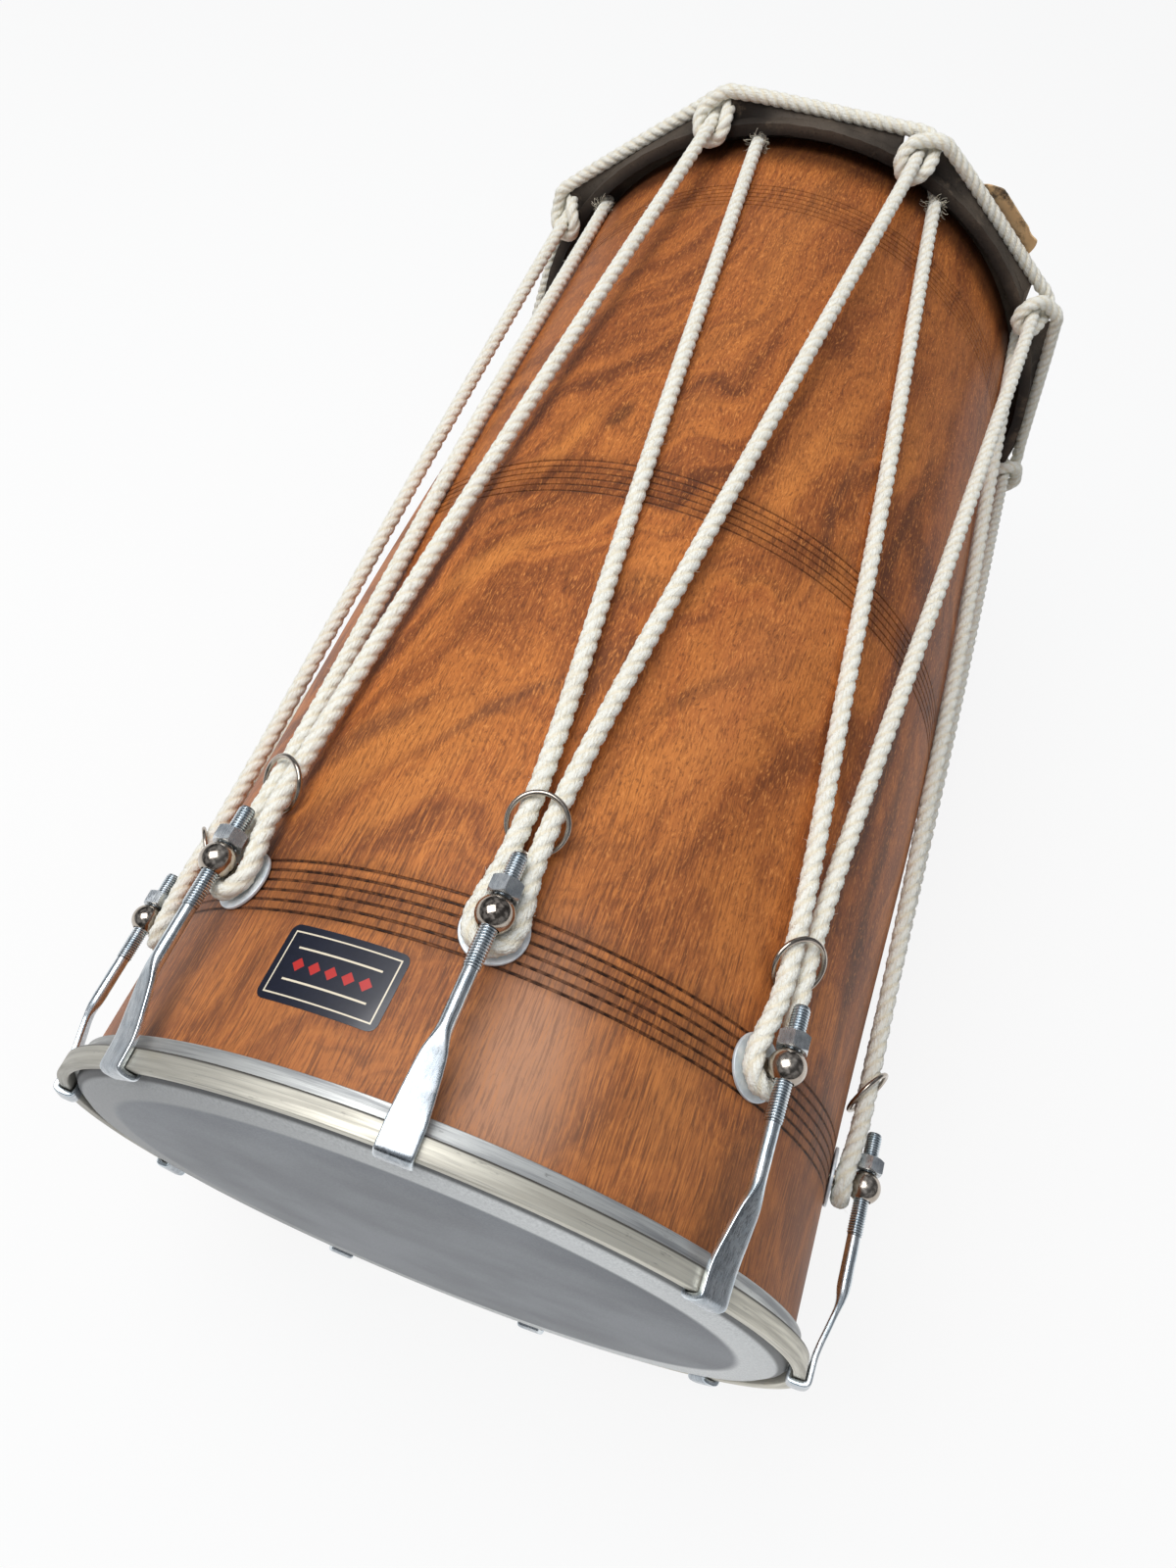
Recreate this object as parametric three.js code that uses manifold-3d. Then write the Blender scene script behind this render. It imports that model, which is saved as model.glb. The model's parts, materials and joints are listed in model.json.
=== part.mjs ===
// A rope-laced dhol, lying on its side as it is put down between songs.
//
// The barrel shell carries a film head on a metal hoop at its treble end (towards -Y) and a hide
// head lapped round an iron hoop at its bass end (towards +Y). Nine hooked rods hold the treble
// rim; each passes through a ball lug on the shell and is drawn up by a nut. One endless rope is
// laced between the lugs and the hide, a tuning ring draws each pair of its legs together, and a
// second endless rope runs round the hide's hoop with a half hitch on each leg.
//
// Millimetres, +Z up. The drum is drawn with its axis along Y and the rim's front face at y = 0,
// then tilted to the rest that its lugs and hitches give it, and stood on z = 0.

import * as THREE from 'three';
import { mergeVertices } from 'three/addons/utils/BufferGeometryUtils.js';
import Module from 'manifold-3d';

const wasm = await Module();
wasm.setup();

// Clearances that hold for every piece
const seat = 0.3; // gap between two pieces that rest on each other
const overrun = 2; // how far a cutting tool runs past what it cuts

// The whole drum
const headToHead = 724; // from the film's face to the hide's face
const stationCount = 9; // hooks, lugs, rings and hitches round the drum
const topStation = 2; // the station that lies uppermost
const aroundSteps = 36; // facets round the drum
const boreSteps = 8; // facets round a screw hole or a rope's passage

// Shell
const trebleRadius = 181;
const bulge = 4.6; // how much wider the barrel's radius is at its middle than at its treble end
const bassSwell = 1; // how much wider its radius is at its bass end than at its treble end
const shellWall = 13;
const trebleStraight = 88; // length of the straight mouth behind the rim's face
const bassStraight = 34;
const widestShare = 0.485; // where the barrel is widest, as a share of the drum's length
const crestInset = 7.7; // from the shell's side in to the crest of its treble edge
const crestDrop = 3.1; // how far the treble edge falls from the crest to the side
const edgeRound = 1.4;
const innerChamfer = 4;
const bassCrestInset = 4.5;
const bassCrestDrop = 2.6;

// Film head
const filmProud = 2; // the film's face stands this far ahead of the rim
const filmThickness = 0.35;
const filmSkirtLength = 15.4; // from the rim's face to the end of the film's skirt

// The film's metal hoop, and the rim that presses on it
const rimDepth = 9;
const rimWall = 3;
const rimFlange = 5.4; // thickness of the flange that bears on the film's hoop
const rimGap = 3.5; // from the shell's side out to the rim's mouth
const rimWidth = 5.5; // from the rim's mouth out to its side
const filmHoopWall = 2.6;
const filmHoopEnd = 16; // from the rim's face to the hoop's far edge
const filmHoopFoot = 3.1; // thickness of the foot under the rim's flange

// Hide head and its hoop
const hideThickness = 1.2;
const legRoom = 0.55; // room on each side of a rope's leg between the shell and the lap
const hoopWall = 4.5;
const hoopHeight = 8.8;
const hoopDrop = 12.1; // from the hide's face to the hoop's near face
const lapOverlap = 4.2; // how far the hide turns up inside the hoop
const holeSlack = 0.9; // room round the rope where it passes the hide

// Rope
const ropeDiameter = 8.8;
const ropeSides = 6;
const loopLift = 1.1; // room between a washer and the rope's loop on it
const hitchShare = 0.39; // where a lug's right leg meets the hoop, as a share of the lug pitch
const holeShare = 0.6125; // where the rope comes back through the hide, as the same share

// Ball lug
const lugDistance = 92; // from the rim's face to the lug's axis
const ballDiameter = 16;
const ballHeight = 17.4; // from the shell's side up to the ball's centre
const ballSteps = 10;
const ballArcs = 5;
const postDiameter = 8;
const loopSlack = 0.7; // room between the post and the rope round it
const shankDiameter = 6;
const shankDepth = 10; // how deep the lug is screwed into the shell
const boreSlack = 0.4; // radial room for the rod in the ball
const washerDiameter = 29;
const washerThickness = 1.6;
const washerSlack = 0.4;
const washerSteps = 14;

// Hook and nut
const threadDiameter = 7.6;
const rodDiameter = 6.4;
const threadAhead = 23; // how far the thread starts ahead of the lug's axis
const rodPastLug = 27;
const rodChamfer = 1.2;
const bladeThickness = 3;
const bladeFootWidth = 15;
const bladeShoulderWidth = 10.6;
const bladeNeckWidth = 6;
const bladeBendLength = 11; // from the rim's face to the bend that leads up to the rod
const bladeShoulder = 37; // from the rim's face to the shoulder
const bladeNeck = 45; // from the rim's face to the neck, where the rod starts
const lipSlack = 0.9; // the flat lip's room in the round mouth of the rim
const lipLength = 4.2; // how far the claw reaches behind the rim's face
const nutFlats = 13;
const nutHeight = 7.5;
const nutSlack = 0.35;

// Tuning ring
const ringMeanRadius = 13;
const ringWire = 2.4;
const ringDistance = 47; // from the lug's axis to the ring's centre
const ringTiltDegrees = 34; // from lying flat along the ropes
const ringTravel = 9; // how far each way the ring can slide
const legGap = 12; // distance between the two legs' centres inside the ring
const ringLift = 1.2; // room between the ring's low side and the shell
const ringWireSteps = 5;
const ringSteps = 14;

// Derived sizes
const degree = Math.PI / 180;
const pitch = 2 * Math.PI / stationCount;
const ropeRadius = ropeDiameter / 2;
const filmFace = -filmProud;
const hideFace = headToHead - filmProud;
const shellFront = filmFace + filmThickness + seat;
const shellBack = hideFace - hideThickness - seat;
const widest = headToHead * widestShare;
const middleRadius = trebleRadius + bulge;
const bassRadius = trebleRadius + bassSwell;
const rimMouthRadius = trebleRadius + rimGap;
const rimRadius = rimMouthRadius + rimWidth;
const lapInnerRadius = bassRadius + ropeDiameter + 2 * legRoom;
const hoopInnerRadius = lapInnerRadius + hideThickness + seat;
const hoopOuterRadius = hoopInnerRadius + hoopWall;
const hoopTop = hideFace - hoopDrop;
const hoopBottom = hoopTop - hoopHeight;
const lapTop = hoopTop + seat + hideThickness;
const lapBottom = hoopBottom - seat - hideThickness;
const lapRadius = hoopOuterRadius + seat + hideThickness;
const filmSkirtRadius = trebleRadius + seat + filmThickness;
const lugRadius = trebleRadius + ballHeight; // from the drum's axis to the ball's centre
const washerTop = trebleRadius + seat + washerThickness;
const bladeInner = rimRadius + seat;
const loopRadius = postDiameter / 2 + loopSlack + ropeRadius;

// Colours from the finished drum
const material = (color, roughness, metalness = 0) =>
  new THREE.MeshStandardMaterial({ color, roughness, metalness });
const wood = material(0x8a4b28, 0.45);
const film = material(0x7c7f83, 0.4);
const aluminium = material(0xb4b2aa, 0.5, 0.9);
const hide = material(0x4d443b, 0.7);
const iron = material(0x4a4644, 0.6, 0.8);
const cotton = material(0xe8e2d0, 0.9);
const zinc = material(0xcfd6da, 0.3, 0.9);
const nickel = material(0xb9b4ac, 0.15, 1);

// Closed meshes: seams merged, flat slivers dropped, faces pointing out
function closed(geometry) {
  const bare = geometry.clone();
  bare.deleteAttribute('normal');
  bare.deleteAttribute('uv');
  const merged = mergeVertices(bare, 1e-4);
  const corners = merged.index ? Array.from(merged.index.array) : [];
  const faces = [];
  const [a, b, c] = [new THREE.Vector3(), new THREE.Vector3(), new THREE.Vector3()];
  let volume = 0;
  for (let i = 0; i < corners.length; i += 3) {
    const [p, q, r] = corners.slice(i, i + 3);
    if (p === q || q === r || r === p) continue;
    faces.push([p, q, r]);
    a.fromBufferAttribute(merged.attributes.position, p);
    b.fromBufferAttribute(merged.attributes.position, q);
    c.fromBufferAttribute(merged.attributes.position, r);
    volume += a.dot(b.cross(c));
  }
  merged.setIndex(faces.flatMap(([p, q, r]) => (volume < 0 ? [p, r, q] : [p, q, r])));
  merged.computeVertexNormals();
  return merged;
}

function toSolid(geometry) {
  const tidy = closed(geometry);
  return new wasm.Manifold(new wasm.Mesh({
    numProp: 3,
    vertProperties: new Float32Array(tidy.attributes.position.array),
    triVerts: new Uint32Array(tidy.index.array),
  }));
}

function toGeometry(solid) {
  const mesh = solid.getMesh();
  const geometry = new THREE.BufferGeometry();
  geometry.setAttribute('position', new THREE.Float32BufferAttribute(mesh.vertProperties, 3));
  geometry.setIndex(Array.from(mesh.triVerts));
  geometry.computeVertexNormals();
  return geometry;
}

const cut = (whole, ...tools) => tools.reduce((left, tool) => left.subtract(toSolid(tool)), whole);

// A turned piece: its outline [radius, distance] goes once round its section or starts and ends
// on the axis
function turned(outline, steps = aroundSteps) {
  const points = outline.map(([radius, along]) => new THREE.Vector2(radius, along));
  const onAxis = outline[0][0] === 0;
  if (!onAxis) points.push(points[0].clone());
  return closed(new THREE.LatheGeometry(points, steps));
}

// An outline [across, up] given a thickness that starts at `from` along Z
function plate(outline, thickness, from, hole = null) {
  const shape = new THREE.Shape(outline.map(([across, up]) => new THREE.Vector2(across, up)));
  if (hole) shape.holes.push(new THREE.Path(hole.map(([x, y]) => new THREE.Vector2(x, y))));
  const settings = { depth: thickness, bevelEnabled: false };
  return new THREE.ExtrudeGeometry(shape, settings).translate(0, 0, from);
}

function polygon(radius, sides, start = 0) {
  const corner = (i) => start + (2 * Math.PI * i) / sides;
  return Array.from({ length: sides }, (_, i) => [
    radius * Math.cos(corner(i)),
    radius * Math.sin(corner(i)),
  ]);
}

// A line moved sideways by a distance, its corners mitred. Positive is to the right of its run.
function offsetLine(line, distance) {
  const points = line.map(([x, y]) => new THREE.Vector2(x, y));
  const side = (from, to) => {
    const along = to.clone().sub(from).normalize();
    return new THREE.Vector2(along.y, -along.x);
  };
  return points.map((point, i) => {
    const before = i > 0 ? side(points[i - 1], point) : side(point, points[i + 1]);
    const after = i < points.length - 1 ? side(point, points[i + 1]) : before;
    const mitre = before.clone().add(after).normalize();
    const moved = point.clone().addScaledVector(mitre, distance / mitre.dot(before));
    return [moved.x, moved.y];
  });
}

// Places round the drum: an angle clockwise from the top as seen from the treble end, a radius
// and a distance from the rim's face
const place = (angle, radius, along) =>
  new THREE.Vector3(radius * Math.sin(angle), along, radius * Math.cos(angle));
const lugAngle = (station) => (station - topStation) * pitch;

// Outer radius of the barrel
function shellRadius(along) {
  const isTreble = along < widest;
  const end = isTreble ? trebleRadius : bassRadius;
  const start = isTreble ? trebleStraight : shellBack - bassStraight;
  const share = THREE.MathUtils.clamp((along - start) / (widest - start), 0, 1);
  return end + (middleRadius - end) * Math.sin(share * Math.PI / 2) ** 2;
}

// The shell's bearing edges, from the crest out to the side
const trebleEdge = [
  [trebleRadius - crestInset, shellFront],
  [trebleRadius - edgeRound, shellFront + crestDrop],
  [trebleRadius, shellFront + crestDrop + edgeRound],
];
const bassEdge = [
  [bassRadius - bassCrestInset, shellBack],
  [bassRadius, shellBack - bassCrestDrop],
];

const threadBore = () =>
  new THREE.CylinderGeometry(
    threadDiameter / 2 + boreSlack, threadDiameter / 2 + boreSlack, ballDiameter + overrun, ballSteps);

// Barrel with a chamfered edge at each mouth and a blind hole for each lug's shank
function makeShell() {
  const wallShares = [0.19, 0.28, 0.38, widestShare, 0.62, 0.75, 0.87];
  const outer = wallShares.map((share) => [shellRadius(share * headToHead), share * headToHead]);
  const innerShares = [0.75, widestShare, 0.28];
  const inner = innerShares.map((share) => {
    const along = share * headToHead;
    return [shellRadius(along) - shellWall, along];
  });
  const barrel = toSolid(turned([
    ...trebleEdge,
    [trebleRadius, trebleStraight],
    ...outer,
    ...[...bassEdge].reverse(),
    [bassRadius - shellWall + innerChamfer, shellBack],
    [bassRadius - shellWall, shellBack - innerChamfer],
    ...inner,
    [trebleRadius - shellWall, trebleStraight],
    [trebleRadius - shellWall, shellFront + innerChamfer],
    [trebleRadius - shellWall + innerChamfer / 2, shellFront],
  ]));
  const radius = shankDiameter / 2 + seat;
  const holes = Array.from({ length: stationCount }, (_, station) => {
    const hole = new THREE.CylinderGeometry(radius, radius, shankDepth + overrun, boreSteps);
    hole.rotateX(Math.PI / 2);
    hole.translate(0, lugDistance, trebleRadius + (overrun - shankDepth) / 2 - seat);
    return hole.rotateY(lugAngle(station));
  });
  return toGeometry(cut(barrel, ...holes));
}

// Film: a flat face, a collar over the shell's edge and a skirt down its side
function makeFilm() {
  const line = [[0, shellFront], ...trebleEdge, [trebleRadius, filmSkirtLength]];
  const inner = offsetLine(line, seat);
  const outer = offsetLine(line, seat + filmThickness);
  return turned([...outer, ...inner.reverse()]);
}

// The film's own hoop, an angle ring round its skirt
function makeFilmHoop() {
  const inner = filmSkirtRadius + seat;
  const outer = inner + filmHoopWall;
  const foot = rimFlange + seat;
  return turned([
    [inner, foot],
    [rimRadius - rimWall - seat, foot],
    [rimRadius - rimWall - seat, foot + filmHoopFoot],
    [outer, foot + filmHoopFoot],
    [outer, filmHoopEnd],
    [inner, filmHoopEnd],
  ]);
}

// Rim: a ring of angle section whose flange presses the film's hoop along the shell
function makeRim() {
  return turned([
    [rimMouthRadius, 0],
    [rimRadius, 0],
    [rimRadius, rimDepth],
    [rimRadius - rimWall, rimDepth],
    [rimRadius - rimWall, rimFlange],
    [rimMouthRadius, rimFlange],
  ]);
}

// Hoop of flat iron bar inside the hide's lap
function makeHideHoop() {
  return turned([
    [hoopInnerRadius, hoopBottom],
    [hoopOuterRadius, hoopBottom],
    [hoopOuterRadius, hoopTop],
    [hoopInnerRadius, hoopTop],
  ]);
}

// Hide: a flat face drawn over the shell's edge, out to the hoop, round it and up its inside,
// with a hole where each turn of the rope comes through
function makeHide(lacing) {
  const line = [
    [0, shellBack],
    ...bassEdge,
    [hoopInnerRadius, hoopTop],
    [hoopOuterRadius, hoopTop],
    [hoopOuterRadius, hoopBottom],
    [hoopInnerRadius, hoopBottom],
    [hoopInnerRadius, hoopBottom + lapOverlap],
  ];
  const inner = offsetLine(line, -seat);
  const outer = offsetLine(line, -seat - hideThickness);
  const sheet = toSolid(turned([...outer, ...inner.reverse()]));
  return toGeometry(cut(sheet, ...lacing.passages));
}

// A closed rope along a smooth route, with one ring of its tube at each of the route's points
class Route extends THREE.Curve {
  constructor(points) {
    super();
    this.count = points.length;
    this.spline = new THREE.CatmullRomCurve3(points, true, 'centripetal');
  }

  mark(share) {
    return Math.round(share * this.count) % this.count / this.count;
  }

  getPointAt(share) {
    return this.spline.getPoint(this.mark(share));
  }

  getTangentAt(share) {
    return this.spline.getTangent(this.mark(share));
  }

  tube() {
    return closed(new THREE.TubeGeometry(this, this.count, ropeRadius, ropeSides, true));
  }
}

// Heights and depths of the ropes
const legRadius = lapRadius + seat + ropeRadius; // the leg outside the hoop
const legTop = lapBottom - ropeDiameter; // where a leg comes up to the hoop
const holeRadius = (bassRadius + lapInnerRadius) / 2; // the leg between the hoop and the shell
const loopHeight = washerTop + loopLift + ropeRadius;
const ringAlong = lugDistance + ringDistance;
const ringRise = ringMeanRadius * Math.sin(ringTiltDegrees * degree);
const pairHeight = trebleRadius + ringLift + ringWire / 2 + ringRise;
const pairHalf = ringTravel + ringMeanRadius * Math.cos(ringTiltDegrees * degree);

// Over the hoop and along to the hole, as shares: of the way to the hole, and of the rope's
// diameter out from the lap and up from its top
const crossingShares = [
  [0.01, 0.55, -0.84],
  [0.03, 0.57, -0.05],
  [0.09, 0.38, 0.55],
  [0.19, -0.18, 0.84],
  [0.35, -0.74, 0.93],
  [0.55, -1.11, 0.96],
  [0.79, -1.34, 0.58],
  [0.96, -1.415, -0.39],
];

// A half hitch, as shares of the rope's diameter: across from the leg, out from the lap, and up
// from its top or, below the gap in the list, from its foot. The rope comes over the leg's bend,
// goes down its right side, behind it, up its left side, across its front and out over itself,
// and from there straight to the next leg.
const hitchTopShares = [
  [-1.32, 1.02, 0.93],
  [-0.23, 1.35, 0.91],
  [0.59, 1.44, 0.55],
  [1.11, 1.05, -0.11],
];
const hitchFootShares = [
  [1.17, 0.75, 0.42],
  [1.16, 0.63, 0],
  [1.12, 0.39, -0.37],
  [0.65, -0.3, -0.85],
  [-0.03, -0.53, -0.87],
  [-0.57, -0.38, -0.79],
  [-0.97, 0.19, -0.58],
  [-0.98, 0.79, -0.15],
  [-0.67, 1.32, 0.29],
  [0.06, 1.69, 0.71],
];
const hitchEndShares = [
  [1.11, 2.08, -0.4],
  [2.44, 1.67, -0.08],
];

// The endless lacing. For each lug: down the left leg, round the post on its treble side, up the
// right leg outside the hoop, over it, and along the hide to the hole that the next lug's left
// leg comes out of
function makeLacing() {
  const points = [];
  const passages = [];
  for (let station = 0; station < stationCount; station += 1) {
    const lug = lugAngle(station);
    const add = (angle, radius, along) => points.push(place(angle, radius, along));
    const beside = (across, radius, along) => add(lug + across / radius, radius, along);
    const leftTop = lug - pitch * (1 - holeShare);
    const hitch = lug + pitch * hitchShare;
    const hole = lug + pitch * holeShare;
    const pairAngle = legGap / 2 / pairHeight;
    const pairStart = ringAlong - pairHalf;
    const pairEnd = ringAlong + pairHalf;

    // Left leg, lying on the barrel where it is widest
    add(leftTop, holeRadius, legTop);
    for (const share of [0.25, 0.5, 0.75]) {
      const along = THREE.MathUtils.lerp(legTop, pairEnd, share);
      const taut = THREE.MathUtils.lerp(holeRadius, pairHeight, share);
      const lying = shellRadius(along) + seat * 2 + ropeRadius;
      const angle = THREE.MathUtils.lerp(leftTop, lug - pairAngle, share);
      add(angle, Math.max(lying, taut), along);
    }
    beside(-legGap / 2, pairHeight, pairEnd);
    beside(-legGap / 2, pairHeight, pairStart);

    for (let quarter = 0; quarter <= 4; quarter += 1) {
      const turn = Math.PI * quarter / 4;
      const across = -loopRadius * Math.cos(turn);
      beside(across, loopHeight, lugDistance - loopRadius * Math.sin(turn));
    }

    // Right leg, clear of the barrel
    beside(legGap / 2, pairHeight, pairStart);
    beside(legGap / 2, pairHeight, pairEnd);
    const midway = THREE.MathUtils.lerp(lug + pairAngle, hitch, 0.5);
    add(midway, (pairHeight + legRadius) / 2, (pairEnd + legTop) / 2);
    add(hitch, legRadius, legTop);

    const crossing = crossingShares.map(([way, out, up]) => place(
      THREE.MathUtils.lerp(hitch, hole, way),
      lapRadius + out * ropeDiameter,
      lapTop + up * ropeDiameter));
    points.push(...crossing);
    passages.push(passage([...crossing.slice(-6), place(hole, holeRadius, legTop)]));
  }
  return { route: new Route(points), passages };
}

// A bar along some of the rope's points, for cutting its way through the hide
function passage(points) {
  const outline = polygon(ropeRadius + holeSlack, boreSteps);
  const shape = new THREE.Shape(outline.map(([x, y]) => new THREE.Vector2(x, y)));
  const path = new THREE.CatmullRomCurve3(points, false, 'centripetal');
  return new THREE.ExtrudeGeometry(shape, { steps: points.length * 2, extrudePath: path });
}

// The endless rope round the hoop, straight between its hitches
function makeHoopRope() {
  const points = [];
  for (let station = 0; station < stationCount; station += 1) {
    const hitch = lugAngle(station) + pitch * hitchShare;
    const add = (across, radius, along) =>
      points.push(place(hitch + across / legRadius, radius, along));
    const fromHitch = (level) => ([across, out, up]) =>
      add(across * ropeDiameter, lapRadius + out * ropeDiameter, level + up * ropeDiameter);
    hitchTopShares.forEach(fromHitch(lapTop));
    hitchFootShares.forEach(fromHitch(lapBottom));
    hitchEndShares.forEach(fromHitch(lapTop));
  }
  return new Route(points);
}

// The least gap between two ropes' surfaces, or between a rope and itself past a near stretch
function leastGap(one, other, skipCount) {
  const sampleCount = 2400;
  const sample = (route) =>
    Array.from({ length: sampleCount }, (_, i) => route.spline.getPoint(i / sampleCount));
  const [first, second] = [sample(one), sample(other)];
  let least = Infinity;
  let at = '';
  first.forEach((point, i) => {
    for (let j = 0; j < sampleCount; j += 1) {
      const apart = Math.abs(i - j);
      if (one === other && Math.min(apart, sampleCount - apart) < skipCount) continue;
      const distance = point.distanceTo(second[j]);
      if (distance < least) {
        least = distance;
        const share = (Math.atan2(point.x, point.z) / pitch - hitchShare + stationCount) % 1;
        at = `${share.toFixed(3)} of a pitch past a hitch, ${point.y.toFixed(1)} along`;
      }
    }
  });
  return `${(least - ropeDiameter).toFixed(2)} mm, ${at}`;
}

// One station's hardware, drawn at the top of the drum: X across, Y along, Z out from the axis

// Ball lug: a cross-bored ball on a post, with a shank screwed into the shell
function makeLug() {
  const ball = ballDiameter / 2;
  const post = postDiameter / 2;
  const shank = shankDiameter / 2;
  const low = Math.asin(post / ball);
  const arc = Array.from({ length: ballArcs }, (_, i) => {
    const turn = THREE.MathUtils.lerp(Math.PI - low, 0, (i + 1) / ballArcs);
    return [i + 1 < ballArcs ? ball * Math.sin(turn) : 0, ball * Math.cos(turn)];
  });
  const outline = [
    [0, trebleRadius - shankDepth - lugRadius],
    [shank, trebleRadius - shankDepth - lugRadius],
    [shank, washerTop + seat - lugRadius],
    [post, washerTop + seat - lugRadius],
    [post, -ball * Math.cos(low)],
    ...arc,
  ];
  const stud = turned(outline, ballSteps).rotateX(Math.PI / 2);
  return toGeometry(cut(toSolid(stud), threadBore()));
}

// Flat washer under the rope's loop
function makeWasher() {
  const hole = polygon(shankDiameter / 2 + washerSlack, boreSteps);
  return closed(plate(polygon(washerDiameter / 2, washerSteps), washerThickness, 0, hole));
}

// Hook: a threaded rod, forged out into a blade that bends down to the rim, with a claw over the
// rim's face and a lip behind its mouth
function makeHook() {
  const inner = bladeInner - lugRadius;
  const outer = inner + bladeThickness;
  const front = -seat - bladeThickness;
  const lipOuter = rimMouthRadius - lipSlack - lugRadius;
  const lipInner = filmSkirtRadius + seat - lugRadius;
  const neck = rodDiameter / 2;
  const half = bladeThickness / 2;
  const side = [
    [neck, bladeNeck + neck],
    [half, bladeShoulder],
    [outer, bladeBendLength],
    [outer, front + half],
    [outer - half, front],
    [lipInner, front],
    [lipInner, lipLength],
    [lipOuter, lipLength],
    [lipOuter, -seat],
    [inner, -seat],
    [inner, bladeBendLength],
    [-half, bladeShoulder],
    [-neck, bladeNeck + neck],
  ];
  const face = [
    [bladeFootWidth / 2, front - overrun],
    [bladeFootWidth / 2, bladeBendLength],
    [bladeShoulderWidth / 2, bladeShoulder - neck],
    [bladeNeckWidth / 2, bladeNeck],
    [bladeNeckWidth / 2, bladeNeck + neck + overrun],
  ];
  const mirrored = [...face].reverse().map(([across, along]) => [-across, along]);
  const profile = plate(side, bladeFootWidth, -bladeFootWidth / 2).rotateY(-Math.PI / 2);
  const deep = neck - lipInner + overrun * 2;
  const outline = plate([...face, ...mirrored], deep, lipInner - overrun);
  const blade = toSolid(profile).intersect(toSolid(outline));
  const thread = threadDiameter / 2;
  const threadStart = lugDistance - threadAhead;
  const rod = turned([
    [0, bladeNeck],
    [neck, bladeNeck],
    [neck, threadStart - rodChamfer],
    [thread, threadStart],
    [thread, lugDistance + rodPastLug - rodChamfer],
    [thread - rodChamfer, lugDistance + rodPastLug],
    [0, lugDistance + rodPastLug],
  ], ballSteps);
  return toGeometry(blade.add(toSolid(rod)));
}

// Hexagon nut on the far side of the ball
function makeNut() {
  const corner = nutFlats / 2 / Math.cos(Math.PI / 6);
  const bore = polygon(threadDiameter / 2 + nutSlack, ballSteps);
  const nut = plate(polygon(corner, 6), nutHeight, 0, bore);
  return closed(nut.rotateX(-Math.PI / 2));
}

// Tuning ring, tilted so that it goes over the pair of legs on one side and under on the other
function makeRing() {
  const ring = new THREE.TorusGeometry(ringMeanRadius, ringWire / 2, ringWireSteps, ringSteps);
  return closed(ring.rotateX(ringTiltDegrees * degree));
}

// How far the nut's face stands from the ball's centre when its bore bears on the ball
const nutSeat = Math.sqrt((ballDiameter / 2) ** 2 - (threadDiameter / 2 + nutSlack) ** 2) + seat;

// Assembly
const drum = new THREE.Group();

function addPiece(parent, name, geometry, finish, position = [0, 0, 0]) {
  const mesh = new THREE.Mesh(geometry, finish);
  mesh.name = name;
  mesh.position.set(...position);
  parent.add(mesh);
  return mesh;
}

const lacing = makeLacing();
const hoopRoute = makeHoopRope();
addPiece(drum, 'shell', makeShell(), wood);
addPiece(drum, 'treble_film', makeFilm(), film);
addPiece(drum, 'treble_film_hoop', makeFilmHoop(), aluminium);
addPiece(drum, 'treble_rim', makeRim(), aluminium);
addPiece(drum, 'bass_hoop', makeHideHoop(), iron);
addPiece(drum, 'bass_hide', makeHide(lacing), hide);
addPiece(drum, 'lacing_rope', lacing.route.tube(), cotton);
addPiece(drum, 'hoop_rope', hoopRoute.tube(), cotton);

const lugShape = makeLug();
const washerShape = makeWasher();
const hookShape = makeHook();
const nutShape = makeNut();
const ringShape = makeRing();
for (let station = 0; station < stationCount; station += 1) {
  const group = new THREE.Group();
  group.rotation.y = lugAngle(station);
  const number = station + 1;
  addPiece(group, `ball_lug_${number}`, lugShape, nickel, [0, lugDistance, lugRadius]);
  addPiece(group, `washer_${number}`, washerShape, zinc, [0, lugDistance, trebleRadius + seat]);
  addPiece(group, `hook_${number}`, hookShape, zinc, [0, 0, lugRadius]);
  addPiece(group, `nut_${number}`, nutShape, zinc, [0, lugDistance + nutSeat, lugRadius]);
  addPiece(group, `ring_${number}`, ringShape, nickel, [0, ringAlong, pairHeight]);
  drum.add(group);
}

// Rest: on the two lowest ball lugs and the lowest hitch of the hoop rope
const outermostShare = Math.max(...hitchEndShares.map(([, out]) => out));
const hitchReach = lapRadius + outermostShare * ropeDiameter + ropeRadius;
const lugReach = lugRadius * Math.cos(pitch / 2) + ballDiameter / 2;
const restTilt = Math.atan((hitchReach - lugReach) / (hoopTop - lugDistance));
drum.rotation.x = restTilt;

const dhol = new THREE.Group();
dhol.add(drum);
dhol.updateMatrixWorld(true);
const box = new THREE.Box3().setFromObject(dhol, true);
const middle = box.getCenter(new THREE.Vector3());
drum.position.set(-middle.x, -middle.y, -box.min.z);
dhol.updateMatrixWorld(true);

const neighbourCount = 60; // samples along one rope that count as the same stretch
console.log('least gap of the hoop rope to itself:', leastGap(hoopRoute, hoopRoute, neighbourCount));
console.log('least gap of the lacing to itself:', leastGap(lacing.route, lacing.route, neighbourCount));
console.log('least gap between the ropes:', leastGap(hoopRoute, lacing.route, 0));

export default dhol;
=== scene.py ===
# %% [markdown]
# A rope-laced dhol, dressed for its photograph. The drum is a turned barrel of dark hardwood with a
# film head at the near end and a hide head at the far end. The frame gives every piece its place,
# so each cell below draws one piece in millimetres along the drum's own axis, and one helper sets
# it into the frame.

# %% Load the frame
import json
import math
from types import SimpleNamespace

import bmesh
import bpy
from mathutils import Matrix, Vector, noise


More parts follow.
